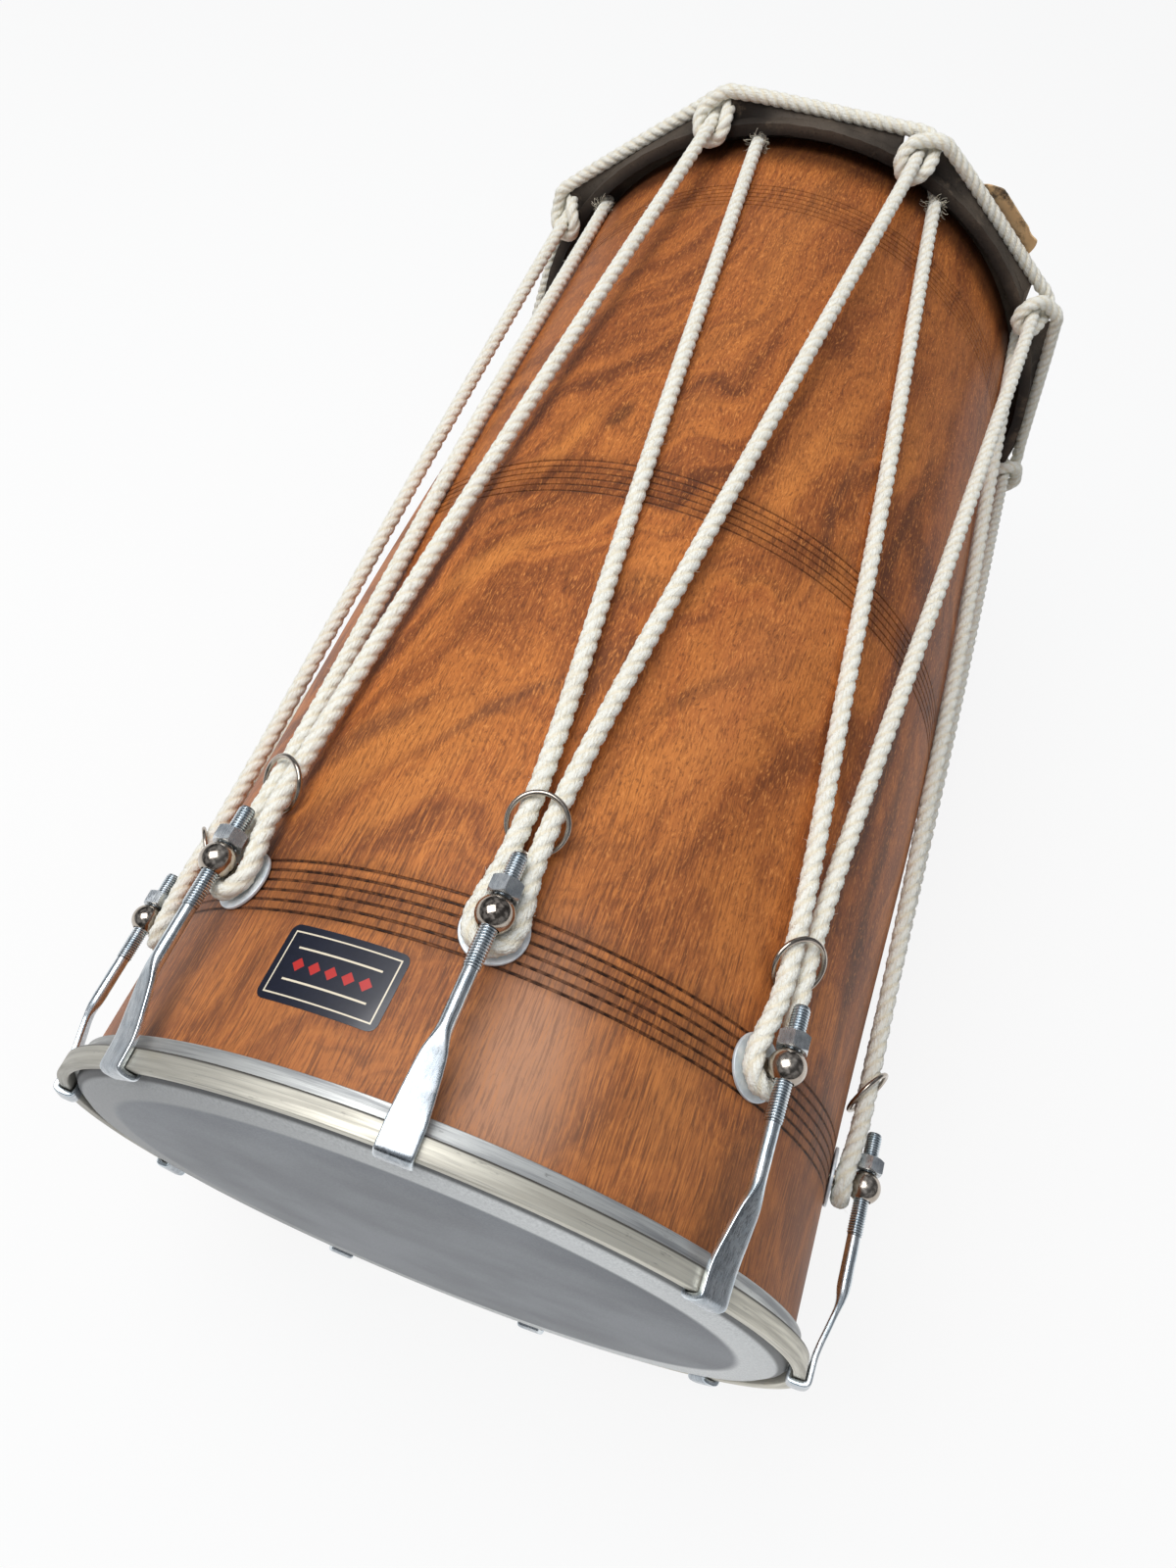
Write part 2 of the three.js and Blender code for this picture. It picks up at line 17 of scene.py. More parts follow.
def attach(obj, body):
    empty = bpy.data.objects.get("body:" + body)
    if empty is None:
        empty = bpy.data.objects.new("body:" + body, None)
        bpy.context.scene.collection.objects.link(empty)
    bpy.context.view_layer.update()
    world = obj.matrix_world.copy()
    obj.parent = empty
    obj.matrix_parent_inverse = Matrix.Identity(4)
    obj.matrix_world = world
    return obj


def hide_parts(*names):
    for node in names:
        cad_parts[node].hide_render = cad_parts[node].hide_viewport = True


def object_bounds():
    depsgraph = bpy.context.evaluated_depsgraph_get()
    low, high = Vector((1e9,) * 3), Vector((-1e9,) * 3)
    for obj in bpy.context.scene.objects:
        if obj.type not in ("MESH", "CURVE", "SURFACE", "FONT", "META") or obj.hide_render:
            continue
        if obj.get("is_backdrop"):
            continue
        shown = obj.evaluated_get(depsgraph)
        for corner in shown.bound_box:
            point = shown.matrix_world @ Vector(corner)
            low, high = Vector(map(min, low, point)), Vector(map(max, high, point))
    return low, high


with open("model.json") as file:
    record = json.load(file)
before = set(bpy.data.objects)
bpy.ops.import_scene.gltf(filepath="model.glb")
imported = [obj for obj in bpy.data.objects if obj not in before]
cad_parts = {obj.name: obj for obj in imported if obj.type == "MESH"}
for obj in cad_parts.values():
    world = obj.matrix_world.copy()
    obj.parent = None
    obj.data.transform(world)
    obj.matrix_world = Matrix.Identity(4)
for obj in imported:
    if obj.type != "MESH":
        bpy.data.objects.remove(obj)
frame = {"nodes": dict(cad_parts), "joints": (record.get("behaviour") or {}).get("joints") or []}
cad_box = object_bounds()
print("nodes in the frame:", len(frame["nodes"]))

# %% [markdown]
# The drum lies a little tilted on the floor, so its own axes are needed first. The nine nuts stand
# in a circle round the drum's axis: their middle lies on it, and the nut at the top points up. The
# origin is where the axis meets the front face of the rim. An angle goes clockwise from the top, as
# the player at the near end sees it.

# %% The drum's own axes
MM = 0.001
STATION_COUNT = 9
TOP_STATION = 2
PITCH = 2 * math.pi / STATION_COUNT
STATIONS = range(1, STATION_COUNT + 1)

joints = {joint["name"]: joint for joint in frame["joints"]}
nut_places = [Vector(joints[f"nut_{n}_turn"]["pos_m"]) for n in STATIONS]
along = Vector(joints["nut_1_turn"]["axis"]).normalized()
middle = sum(nut_places, Vector()) / STATION_COUNT
upward = nut_places[TOP_STATION] - middle
upward = (upward - along * upward.dot(along)).normalized()
rim_face = min(along.dot(v.co) for v in frame["nodes"]["treble_rim"].data.vertices)
drum_origin = middle + along * (rim_face - along.dot(middle))
drum_turn = Matrix((along.cross(upward), along, upward)).transposed()
drum = Matrix.Translation(drum_origin) @ drum_turn.to_4x4() @ Matrix.Scale(MM, 4)


def lug_angle(station):
    return (station - TOP_STATION) * PITCH


def place(angle, radius, distance):
    """A point in the drum's millimetres, from its angle, radius and distance from the rim"""
    return Vector((radius * math.sin(angle), distance, radius * math.cos(angle)))


print("tilt of the drum, degrees:", round(math.degrees(math.asin(along.z)), 3))

# %% [markdown]
# How far a node of the frame reaches, seen along the drum's axis. The round pieces take their sizes
# from this, so that they follow the frame.

# %% Measure a node
def reach(node):
    points = [drum.inverted() @ v.co for v in frame["nodes"][node].data.vertices]
    radii = [math.hypot(p.x, p.z) for p in points]
    return SimpleNamespace(
        inner=min(radii), outer=max(radii),
        front=min(p.y for p in points), back=max(p.y for p in points))


rim = reach("treble_rim")
film_hoop = reach("treble_film_hoop")
shell = reach("shell")
hoop = reach("bass_hoop")
print("rim radius", round(rim.outer, 2), "hoop radius", round(hoop.outer, 2))

# %% [markdown]
# The camera stands where the photographer stood: above the near end, looking down the barrel. Its
# place and its two directions were solved from the nine evenly spaced lugs, hooks and hitches, and
# are written in the drum's own axes. The lens is short, so the near end looks much wider than the
# far end.

# %% The camera
CAMERA_PLACE = Vector((62.6, -71.6, 583.9))
CAMERA_FORWARD = Vector((-0.1078, 0.5124, -0.8520))
CAMERA_UP = Vector((-0.3222, 0.7927, 0.5175))
PHOTO_HEIGHT_PX = 1600
FOCAL_PX = 1120.6
SENSOR_MM = 36


def put_in_scene(name, data):
    made = bpy.data.objects.new(name, data)
    bpy.context.scene.collection.objects.link(made)
    return made


forward = (drum_turn @ CAMERA_FORWARD).normalized()
side = forward.cross(drum_turn @ CAMERA_UP).normalized()
camera_turn = Matrix((side, side.cross(forward), -forward)).transposed()
camera_data = bpy.data.cameras.new("photographer")
camera_data.sensor_width = SENSOR_MM
camera_data.lens = FOCAL_PX / PHOTO_HEIGHT_PX * SENSOR_MM
camera = put_in_scene("photographer", camera_data)
camera.matrix_world = Matrix.Translation(drum @ CAMERA_PLACE) @ camera_turn.to_4x4()
bpy.context.scene.camera = camera
print("camera height above the floor, m:", round(camera.matrix_world.translation.z, 3))

# %% [markdown]
# Materials are small networks of nodes. Short helpers keep them readable: they add a node and set
# or link its inputs, mix two colours, or do a sum on numbers or on vectors. The marks that a
# surface carries are written as thin layers over its first colour. Colours are written as they look
# on a screen, from 0 to 255, and turned into light.

# %% Helpers for nodes
def add(tree, kind, inputs=None, **settings):
    node = tree.nodes.new(kind)
    for name, value in settings.items():
        setattr(node, name, value)
    for key, value in (inputs or {}).items():
        if isinstance(value, bpy.types.Node):
            value = next(socket for socket in value.outputs if socket.enabled)
        if isinstance(value, bpy.types.NodeSocket):
            tree.links.new(value, node.inputs[key])
        else:
            node.inputs[key].default_value = value
    return node


def tint(red, green, blue):
    def to_light(level):
        share = level / 255
        return share / 12.92 if share < 0.04045 else ((share + 0.055) / 1.055) ** 2.4

    return to_light(red), to_light(green), to_light(blue), 1


def mixed(tree, factor, first, second, mode="MIX"):
    inputs = {0: factor, 6: first, 7: second}
    return add(tree, "ShaderNodeMix", inputs, data_type="RGBA", blend_type=mode).outputs[2]


def sum_of(tree, operation, first, second=0.0, clamp=False):
    inputs = {0: first, 1: second}
    return add(tree, "ShaderNodeMath", inputs, operation=operation, use_clamp=clamp).outputs[0]


def product(tree, first, second):
    return sum_of(tree, "MULTIPLY", first, second)


def vector_sum(tree, operation, first, second=None):
    """A sum on vectors, whose second value is a plain number for SCALE"""
    inputs = {0: first}
    if second is not None:
        inputs["Scale" if operation == "SCALE" else 1] = second
    node = add(tree, "ShaderNodeVectorMath", inputs, operation=operation)
    return node.outputs["Value" if operation == "LENGTH" else "Vector"]


def parts_of(tree, vector):
    return add(tree, "ShaderNodeSeparateXYZ", {0: vector}).outputs


def vector_from(tree, x=0.0, y=0.0, z=0.0):
    return add(tree, "ShaderNodeCombineXYZ", {0: x, 1: y, 2: z}).outputs[0]


def stepped(tree, value, low, high, at_low=0.0, at_high=1.0):
    """A value between two limits, smoothly turned into another pair of limits"""
    inputs = {
        "Value": value, "From Min": low, "From Max": high, "To Min": at_low, "To Max": at_high}
    return add(tree, "ShaderNodeMapRange", inputs, interpolation_type="SMOOTHSTEP").outputs[0]


def speckle(tree, coords, scale, detail=2.0, roughness=0.5, stretch=(1, 1, 1), output="Fac"):
    """Noise on the coordinates, drawn out where a stretch is below 1"""
    mapped = add(tree, "ShaderNodeMapping", {"Vector": coords, "Scale": stretch})
    inputs = {"Vector": mapped, "Scale": scale, "Detail": detail, "Roughness": roughness}
    return add(tree, "ShaderNodeTexNoise", inputs).outputs[output]


def marked(tree, name, output="Fac"):
    """What was kept on the mesh under this name"""
    return add(tree, "ShaderNodeAttribute", attribute_name=name).outputs[output]


def two_tone(tree, value, low, high, first, second):
    return mixed(tree, stepped(tree, value, low, high), tint(*first), tint(*second))


def layered(tree, colour, *layers):
    """A colour under thin layers: each has a value, two limits, its strength at both, a tint"""
    for value, low, high, at_low, at_high, over in layers:
        colour = mixed(tree, stepped(tree, value, low, high, at_low, at_high), colour, tint(*over))
    return colour


def ramp(tree, factor, *stops):
    node = add(tree, "ShaderNodeValToRGB", {0: factor})
    elements = node.color_ramp.elements
    while len(elements) < len(stops):
        elements.new(0.5)
    for element, (position, colour) in zip(elements, stops):
        element.position = position
        element.color = colour
    return node.outputs[0]


def new_finish(name, uniform):
    """A material, its tree, and coordinates in metres along the drum's own axes"""
    material = bpy.data.materials.new(name)
    material.use_nodes = True
    tree = material.node_tree
    shader = tree.nodes["Principled BSDF"]
    for socket, value in uniform.items():
        shader.inputs[socket].default_value = value
    place_in_world = add(tree, "ShaderNodeTexCoord").outputs["Object"]
    inputs = {"Vector": place_in_world, "Location": drum_origin, "Rotation": drum_turn.to_euler()}
    coords = add(tree, "ShaderNodeMapping", inputs, vector_type="TEXTURE").outputs[0]
    return material, tree, coords


def completed(material, colour, relief, strength, depth, roughness=None):
    """The material with its colour, its fine relief, and its roughness where that varies"""
    tree = material.node_tree
    sockets = tree.nodes["Principled BSDF"].inputs
    tree.links.new(colour, sockets["Base Color"])
    if roughness is not None:
        tree.links.new(roughness, sockets["Roughness"])
    inputs = {"Height": relief, "Strength": strength, "Distance": depth}
    tree.links.new(add(tree, "ShaderNodeBump", inputs).outputs[0], sockets["Normal"])
    return material


print("colour 128 as light:", round(tint(128, 128, 128)[0], 3))

# %% [markdown]
# The light is that of a dim room with one bright panel in its ceiling, a little to the left. The
# panel lies where the top hook's flat blade mirrors it, so that blade is white, while the blades on
# both sides mirror the dim walls and are dark. It also throws the ropes' shadows to the right. What
# the metal mirrors is darker and more uneven than what lights the wood, as in a furnished room. To
# the camera, the room is white. So is the floor, in reflections too, and it keeps a soft shadow.

# %% Light and floor
FLOOR_HALF = 12
SKY_ZENITH = 0.64
SKY_HORIZON = 0.3
ROOM_DARK = 0.14
ROOM_PALE = 0.9
ROOM_CLUTTER = 2.2
WHITE_SHARE = 0.86
PANEL_PLACE = (-0.62, -0.33, 2.0)
PANEL_AIM = (0, -0.04, 0.2)
PANEL_SIZE = (1.2, 1.4)
PANEL_WATTS = 25.5

world = bpy.data.worlds.new("room")
bpy.context.scene.world = world
world.use_nodes = True
sky = world.node_tree
direction = add(sky, "ShaderNodeTexCoord").outputs["Generated"]
height = parts_of(sky, direction)["Z"]
noise_inputs = {"Vector": direction, "Scale": ROOM_CLUTTER, "Detail": 2.0}
clutter = add(sky, "ShaderNodeTexNoise", noise_inputs).outputs["Fac"]
mirrored = stepped(sky, clutter, 0.42, 0.66, ROOM_DARK, ROOM_PALE)
ray = add(sky, "ShaderNodeLightPath").outputs
dimming = product(sky, ray["Is Glossy Ray"], sum_of(sky, "SUBTRACT", mirrored, 1.0))
dimming = sum_of(sky, "ADD", dimming, 1.0)
brightness = stepped(sky, height, 0.05, 0.95, SKY_HORIZON, SKY_ZENITH)
brightness = product(sky, brightness, dimming)
brightness = sum_of(sky, "MAXIMUM", brightness, ray["Is Camera Ray"])
daylight = mixed(sky, ray["Is Camera Ray"], tint(244, 248, 255), (1, 1, 1, 1))
sky.links.new(daylight, sky.nodes["Background"].inputs["Color"])
sky.links.new(brightness, sky.nodes["Background"].inputs["Strength"])

panel = bpy.data.lights.new("ceiling_panel", "AREA")
panel.shape = "RECTANGLE"
panel.size, panel.size_y = PANEL_SIZE
panel.energy = PANEL_WATTS
lamp = put_in_scene("ceiling_panel", panel)
lamp.location = PANEL_PLACE
lamp.rotation_mode = "QUATERNION"
lamp.rotation_quaternion = (Vector(PANEL_AIM) - Vector(PANEL_PLACE)).to_track_quat("-Z", "Y")

floor_mesh = bpy.data.meshes.new("floor")
corners = [(x * FLOOR_HALF, y * FLOOR_HALF, 0) for x, y in ((-1, -1), (1, -1), (1, 1), (-1, 1))]
floor_mesh.from_pydata(corners, [], [(0, 1, 2, 3)])
floor = put_in_scene("floor", floor_mesh)
paper = bpy.data.materials.new("white_paper")
paper.use_nodes = True
sheet = paper.node_tree
sheet.nodes.remove(sheet.nodes["Principled BSDF"])
path = add(sheet, "ShaderNodeLightPath").outputs
seen = sum_of(sheet, "ADD", path["Is Camera Ray"], path["Is Glossy Ray"])
seen = sum_of(sheet, "ADD", seen, path["Is Transmission Ray"], clamp=True)
share = product(sheet, seen, WHITE_SHARE)
matt = add(sheet, "ShaderNodeBsdfDiffuse", {"Color": tint(236, 236, 234)})
glow = add(sheet, "ShaderNodeEmission", {"Color": (1, 1, 1, 1), "Strength": 1.0})
surface = add(sheet, "ShaderNodeMixShader", {0: share, 1: matt, 2: glow})
sheet.links.new(surface.outputs[0], sheet.nodes["Material Output"].inputs["Surface"])
floor_mesh.materials.append(paper)
floor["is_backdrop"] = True
bpy.context.scene.view_settings.view_transform = "Standard"
print("floor and ceiling panel are set")

# %% [markdown]
# Every piece is drawn in the drum's millimetres and then set into the frame by its mesh, so that
# its object stays at the origin. The helper also gives it its finish and its body, and hides the
# nodes of the frame that it stands for.

# %% Helpers for pieces
def set_piece(name, mesh, finish, body="root", replaces=(), turn=0.0, sharp_degrees=35):
    mesh.name = name
    mesh.transform(drum @ Matrix.Rotation(turn, 4, "Y"))
    mesh.materials.clear()
    mesh.materials.append(finish)
    mesh.shade_smooth()
    mesh.set_sharp_from_angle(angle=math.radians(sharp_degrees))
    piece = put_in_scene(name, mesh)
    if replaces:
        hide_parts(*replaces)
    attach(piece, body)
    return piece


def set_at_station(n, kind, stuff, mesh, finish, sharp_degrees):
    """One of nine like pieces, turned to its own station, where it stands for its node"""
    node = f"{kind}_{n}"
    set_piece(f"{node}_{stuff}", mesh, finish, body=node, replaces=[node],
              turn=lug_angle(n - 1), sharp_degrees=sharp_degrees)


def new_mesh(name, vertices, faces):
    mesh = bpy.data.meshes.new(name)
    mesh.from_pydata([tuple(v) for v in vertices], [], faces)
    return mesh


def mark_points(mesh, name, values):
    """Keep a value on each point, for a finish to read"""
    mesh.attributes.new(name, "FLOAT", "POINT").data.foreach_set("value", values)


def faced_out(mesh):
    """Doubles merged and faces turned outwards"""
    shape = bmesh.new()
    shape.from_mesh(mesh)
    bmesh.ops.remove_doubles(shape, verts=shape.verts, dist=1e-5)
    bmesh.ops.recalc_face_normals(shape, faces=shape.faces)
    shape.to_mesh(mesh)
    shape.free()
    return mesh


def shape_of(carrier):
    """A plain mesh of what an object's modifiers make of it; the object itself is thrown away"""
    graph = bpy.context.evaluated_depsgraph_get()
    result = bpy.data.meshes.new_from_object(carrier.evaluated_get(graph), depsgraph=graph)
    carrier.modifiers.clear()
    bpy.data.objects.remove(carrier)
    return result


def evaluated(mesh, *steps):
    """The mesh after its modifiers: each step is a modifier's kind and its settings"""
    carrier = put_in_scene("carrier", mesh)
    for kind, settings in steps:
        modifier = carrier.modifiers.new(kind, kind)
        for name, value in settings.items():
            setattr(modifier, name, value)
    return shape_of(carrier)


def through_tree(mesh, tree, **values):
    """The mesh after a tree of geometry nodes, whose inputs are set by their identifiers"""
    carrier = put_in_scene("carrier", mesh)
    modifier = carrier.modifiers.new(tree.name, "NODES")
    modifier.node_group = tree
    for item in tree.interface.items_tree:
        if item.name in values:
            modifier[item.identifier] = values[item.name]
    return shape_of(carrier)


# %% [markdown]
# A turned piece is one outline carried round the drum's axis, as on a lathe. The outline is a list
# of radius and distance, and it either closes on itself or starts and ends on the axis. A second
# list can mark each of its points, for example as lying in a groove, and the mark is kept on the
# mesh for its finish to read.

# %% Turn an outline
AROUND_STEPS = 288


def tube_faces(rings, steps, closed=False):
    """Quads between rings of points, listed ring by ring; a closed tube meets itself"""
    faces = []
    for low in range(rings if closed else rings - 1):
        high = (low + 1) % rings
        for i in range(steps):
            k = (i + 1) % steps
            faces.append((low * steps + i, high * steps + i, high * steps + k, low * steps + k))
    return faces


def turned(name, outline, steps=AROUND_STEPS, marks=None, mark_name="mark"):
    on_axis = outline[0][0] == 0
    rows = outline[1:-1] if on_axis else outline
    angles = [2 * math.pi * i / steps for i in range(steps)]
    vertices = [place(angle, radius, distance) for radius, distance in rows for angle in angles]
    count = len(rows)
    faces = tube_faces(count, steps, closed=not on_axis)
    if on_axis:
        for row, (_, distance) in ((0, outline[0]), (count - 1, outline[-1])):
            hub = len(vertices)
            vertices.append(Vector((0, distance, 0)))
            faces += [(row * steps + i, row * steps + (i + 1) % steps, hub) for i in range(steps)]
    mesh = new_mesh(name, vertices, faces)
    if marks:
        mark_points(mesh, mark_name, [mark for mark in marks for _ in angles])
    return faced_out(mesh)


def rounded(corner, before, after, radius, steps=5):
    """Points of an arc that rounds a corner between its two neighbours"""
    corner, before, after = Vector(corner), Vector(before), Vector(after)
    one, two = (before - corner).normalized(), (after - corner).normalized()
    half = one.angle(two) / 2
    centre = corner + (one + two).normalized() * (radius / math.sin(half))
    start = corner + one * (radius / math.tan(half)) - centre
    end = corner + two * (radius / math.tan(half)) - centre
    swept = start.angle_signed(end)
    turn = [Matrix.Rotation(-swept * i / steps, 2) @ start + centre for i in range(steps + 1)]
    return [tuple(point) for point in turn]


def softened(outline, radius, steps=4, closed=True):
    """An outline with each corner rounded by the same small radius"""
    points = []
    for i, corner in enumerate(outline):
        if not closed and i in (0, len(outline) - 1):
            points.append(corner)
        else:
            after = outline[(i + 1) % len(outline)]
            points += rounded(corner, outline[i - 1], after, radius, steps)
    return points


# %% [markdown]
# The shell is turned from one log of dark hardwood. Its barrel swells by less than five
# millimetres, following a quarter wave on each side of its widest place. Three bands of six grooves
# are cut into it, and they are real grooves in the mesh, because they catch the light and their
# edges chip.

# %% Barrel and grooves
TREBLE_RADIUS = 181
BULGE = 4.6
BASS_SWELL = 1
SHELL_WALL = 13
TREBLE_STRAIGHT = 88
BASS_STRAIGHT = 34
HEAD_TO_HEAD = 724
WIDEST = HEAD_TO_HEAD * 0.485
TREBLE_CREST = Vector((7.7, 3.1))
BASS_CREST = Vector((4.5, 2.6))
KNEE_ROUND = 1.4
INNER_CHAMFER = 4
GROOVE_BANDS = (91, 350, 641)
GROOVES_IN_BAND = 6
GROOVE_SPACING = 4.9
GROOVE_WIDTHS = (1.6, 1.25, 1.1)
GROOVE_SHADES = (1.0, 0.8, 0.5)
GROOVE_DEPTH = 0.65
GROOVE_SECTION = ((-0.5, 0), (-0.28, 0.75), (0, 1), (0.28, 0.75), (0.5, 0))
PLAIN_STEPS = 80


def barrel_radius(distance):
    treble = distance < WIDEST
    end_radius = TREBLE_RADIUS if treble else TREBLE_RADIUS + BASS_SWELL
    start = TREBLE_STRAIGHT if treble else shell.back - BASS_STRAIGHT
    share = min(max((distance - start) / (WIDEST - start), 0), 1)
    return end_radius + (TREBLE_RADIUS + BULGE - end_radius) * math.sin(share * math.pi / 2) ** 2


def barrel_outline():
    """Radius and distance of the barrel's outer side, and how much of a groove's burn each has"""
    grooves = [
        (band + (i - (GROOVES_IN_BAND - 1) / 2) * GROOVE_SPACING, width, shade)
        for band, width, shade in zip(GROOVE_BANDS, GROOVE_WIDTHS, GROOVE_SHADES)
        for i in range(GROOVES_IN_BAND)]
    start, end = shell.front + TREBLE_CREST.y + KNEE_ROUND, shell.back - BASS_CREST.y
    plain = [start + (end - start) * i / PLAIN_STEPS for i in range(PLAIN_STEPS + 1)]
    clear = [d for d in plain if all(abs(d - groove) > width for groove, width, _ in grooves)]
    points = [(barrel_radius(d), d, 0) for d in clear]
    for groove, width, shade in grooves:
        for way, depth in GROOVE_SECTION:
            d = groove + way * width
            mark = shade if depth else shade * 0.35
            points.append((barrel_radius(d) - depth * GROOVE_DEPTH, d, mark))
    return sorted(points, key=lambda point: point[1])


outer = barrel_outline()
inner_radius = TREBLE_RADIUS - SHELL_WALL
crest = (TREBLE_RADIUS - TREBLE_CREST.x, shell.front, 0)
knee = (TREBLE_RADIUS - KNEE_ROUND, shell.front + TREBLE_CREST.y, 0)
mouth = [
    (inner_radius, shell.front + INNER_CHAMFER, 0),
    (inner_radius + INNER_CHAMFER / 2, shell.front, 0)]
bass_crest = (TREBLE_RADIUS + BASS_SWELL - BASS_CREST.x, shell.back, 0)
tail = [
    (inner_radius + INNER_CHAMFER, shell.back, 0),
    (inner_radius, shell.back - INNER_CHAMFER, 0)]
inside = [
    (barrel_radius(d) - SHELL_WALL, d, 0)
    for d in (shell.back - BASS_STRAIGHT * i for i in range(1, 19))]
section = [crest, knee, *outer, bass_crest, *tail, *inside, *mouth]
barrel = turned(
    "barrel", [(radius, distance) for radius, distance, _ in section],
    marks=[groove for _, _, groove in section], mark_name="groove")
print("barrel rule against the frame:", round(barrel_radius(WIDEST), 2), round(shell.outer, 2))

# %% [markdown]
# The wood is a rosewood-like timber under thin lacquer. The barrel was turned from a log whose
# heart lies off the drum's axis and leans across it, so the growth rings cross the surface as
# slanting bands and arcs. The distance from that leaning heart line numbers the rings, and a knot
# pushes them aside. Noise on that number gives soft bands in place of hard rings.

# %% Rings of the log
HEART_PLACE = Vector((-22, 0, -60)) * MM
HEART_LEAN = Vector((-0.08, 1, 0.2))
KNOT_ANGLE = math.radians(-14.8)
KNOT_DISTANCE = 402
KNOT_SIZE = (60, 34)
KNOT_SLANT = math.radians(15)
KNOT_PUSH = 0.016
ALONG_RING = 0.045


def around(tree, coords, angle, distance, length, width, slant):
    """How far from a spot on the barrel, where 1 is the edge of an ellipse with a slant"""
    turn = Matrix.Rotation(angle, 3, "Y") @ Matrix.Rotation(-slant, 3, "Z")
    spot = place(angle, TREBLE_RADIUS + BULGE, distance) * MM
    inputs = {"Vector": coords, "Location": spot, "Rotation": turn.to_euler(),
              "Scale": (width * MM, length * MM, 60 * MM)}
    mapped = add(tree, "ShaderNodeMapping", inputs, vector_type="TEXTURE")
    return vector_sum(tree, "LENGTH", mapped)


def ring_place(tree, coords):
    """Coordinates that change fast from ring to ring, and slowly along a ring"""
    from_heart = vector_sum(tree, "SUBTRACT", coords, HEART_PLACE)
    crossed = vector_sum(tree, "CROSS_PRODUCT", from_heart, HEART_LEAN.normalized())
    ring = vector_sum(tree, "LENGTH", crossed)
    knot = around(tree, coords, KNOT_ANGLE, KNOT_DISTANCE, *KNOT_SIZE, KNOT_SLANT)
    ring = sum_of(tree, "ADD", ring, stepped(tree, knot, 0, 1, KNOT_PUSH, 0))
    parts = parts_of(tree, vector_sum(tree, "SCALE", coords, ALONG_RING))
    return vector_from(tree, ring, parts["Y"], parts["X"])


# %% [markdown]
# Over the bands lie the marks that make each log its own: golden flames where the grain rises to
# the surface, and smoky or nearly black streaks. They are written as spots on the barrel, with an
# angle in degrees, a distance, a half length, a half width and a slant, and they fade at their
# edges. Then come fine fibres along the axis, and short bright flecks. Near the rim, one rosy spot
# among the flames and a second soft spot laid over the flecks are a painted sheen. The wood is
# browner at the near end, where it is handled, and painted shade makes it nearly black beside the
# lap, under its overhang. The grooves are burnt darker.

# %% Finish of the barrel
GOLDEN = tint(212, 134, 66)
SMOKY = tint(96, 60, 44)
BLACKISH = tint(62, 38, 30)
PAINTED_SHEEN = tint(206, 148, 112)
AMBER = tint(200, 122, 70)
FLAMES_AND_SHEEN = (
    (-27, 165, 66, 15, 46, GOLDEN, 0.62), (-25, 284, 38, 12, 49, GOLDEN, 0.6),
    (-20, 146, 52, 10, 30, GOLDEN, 0.55), (14, 195, 50, 16, 48, GOLDEN, 0.5),
    (3, 294, 30, 18, 40, GOLDEN, 0.4), (2, 600, 120, 14, 4, GOLDEN, 0.35),
    (18, 410, 62, 13, 14, GOLDEN, 0.45), (-23, 378, 34, 10, 30, GOLDEN, 0.5),
    (27, 78, 40, 15, 6, GOLDEN, 0.4), (34, 480, 70, 9, 4, GOLDEN, 0.4),
    (-32, 172, 52, 8, 46, SMOKY, 0.6), (-12, 197, 40, 4, 45, SMOKY, 0.55),
    (-1, 227, 30, 15, 40, SMOKY, 0.5), (17, 248, 52, 6, 38, BLACKISH, 0.5),
    (49, 285, 170, 8, 2, BLACKISH, 0.7), (57, 200, 150, 9, 0, BLACKISH, 0.65),
    (41, 43, 46, 12, 6, SMOKY, 0.6), (25, 395, 90, 4, 6, SMOKY, 0.5),
    (38, 420, 110, 5, 4, BLACKISH, 0.4), (-14.8, 402, 16, 6, 22, BLACKISH, 0.8),
    # The rosy spot at 7 degrees, 48 mm from the rim, is a painted sheen, not figure in the wood.
    (-52, 90, 60, 7, 4, SMOKY, 0.5), (7, 48, 56, 26, 0, PAINTED_SHEEN, 0.7),
    (20, 240, 110, 26, 10, AMBER, 0.4), (-6, 470, 40, 14, 20, GOLDEN, 0.35),
    (-44, 60, 70, 15, 0, SMOKY, 0.25), (-4, 420, 50, 16, 20, SMOKY, 0.25))


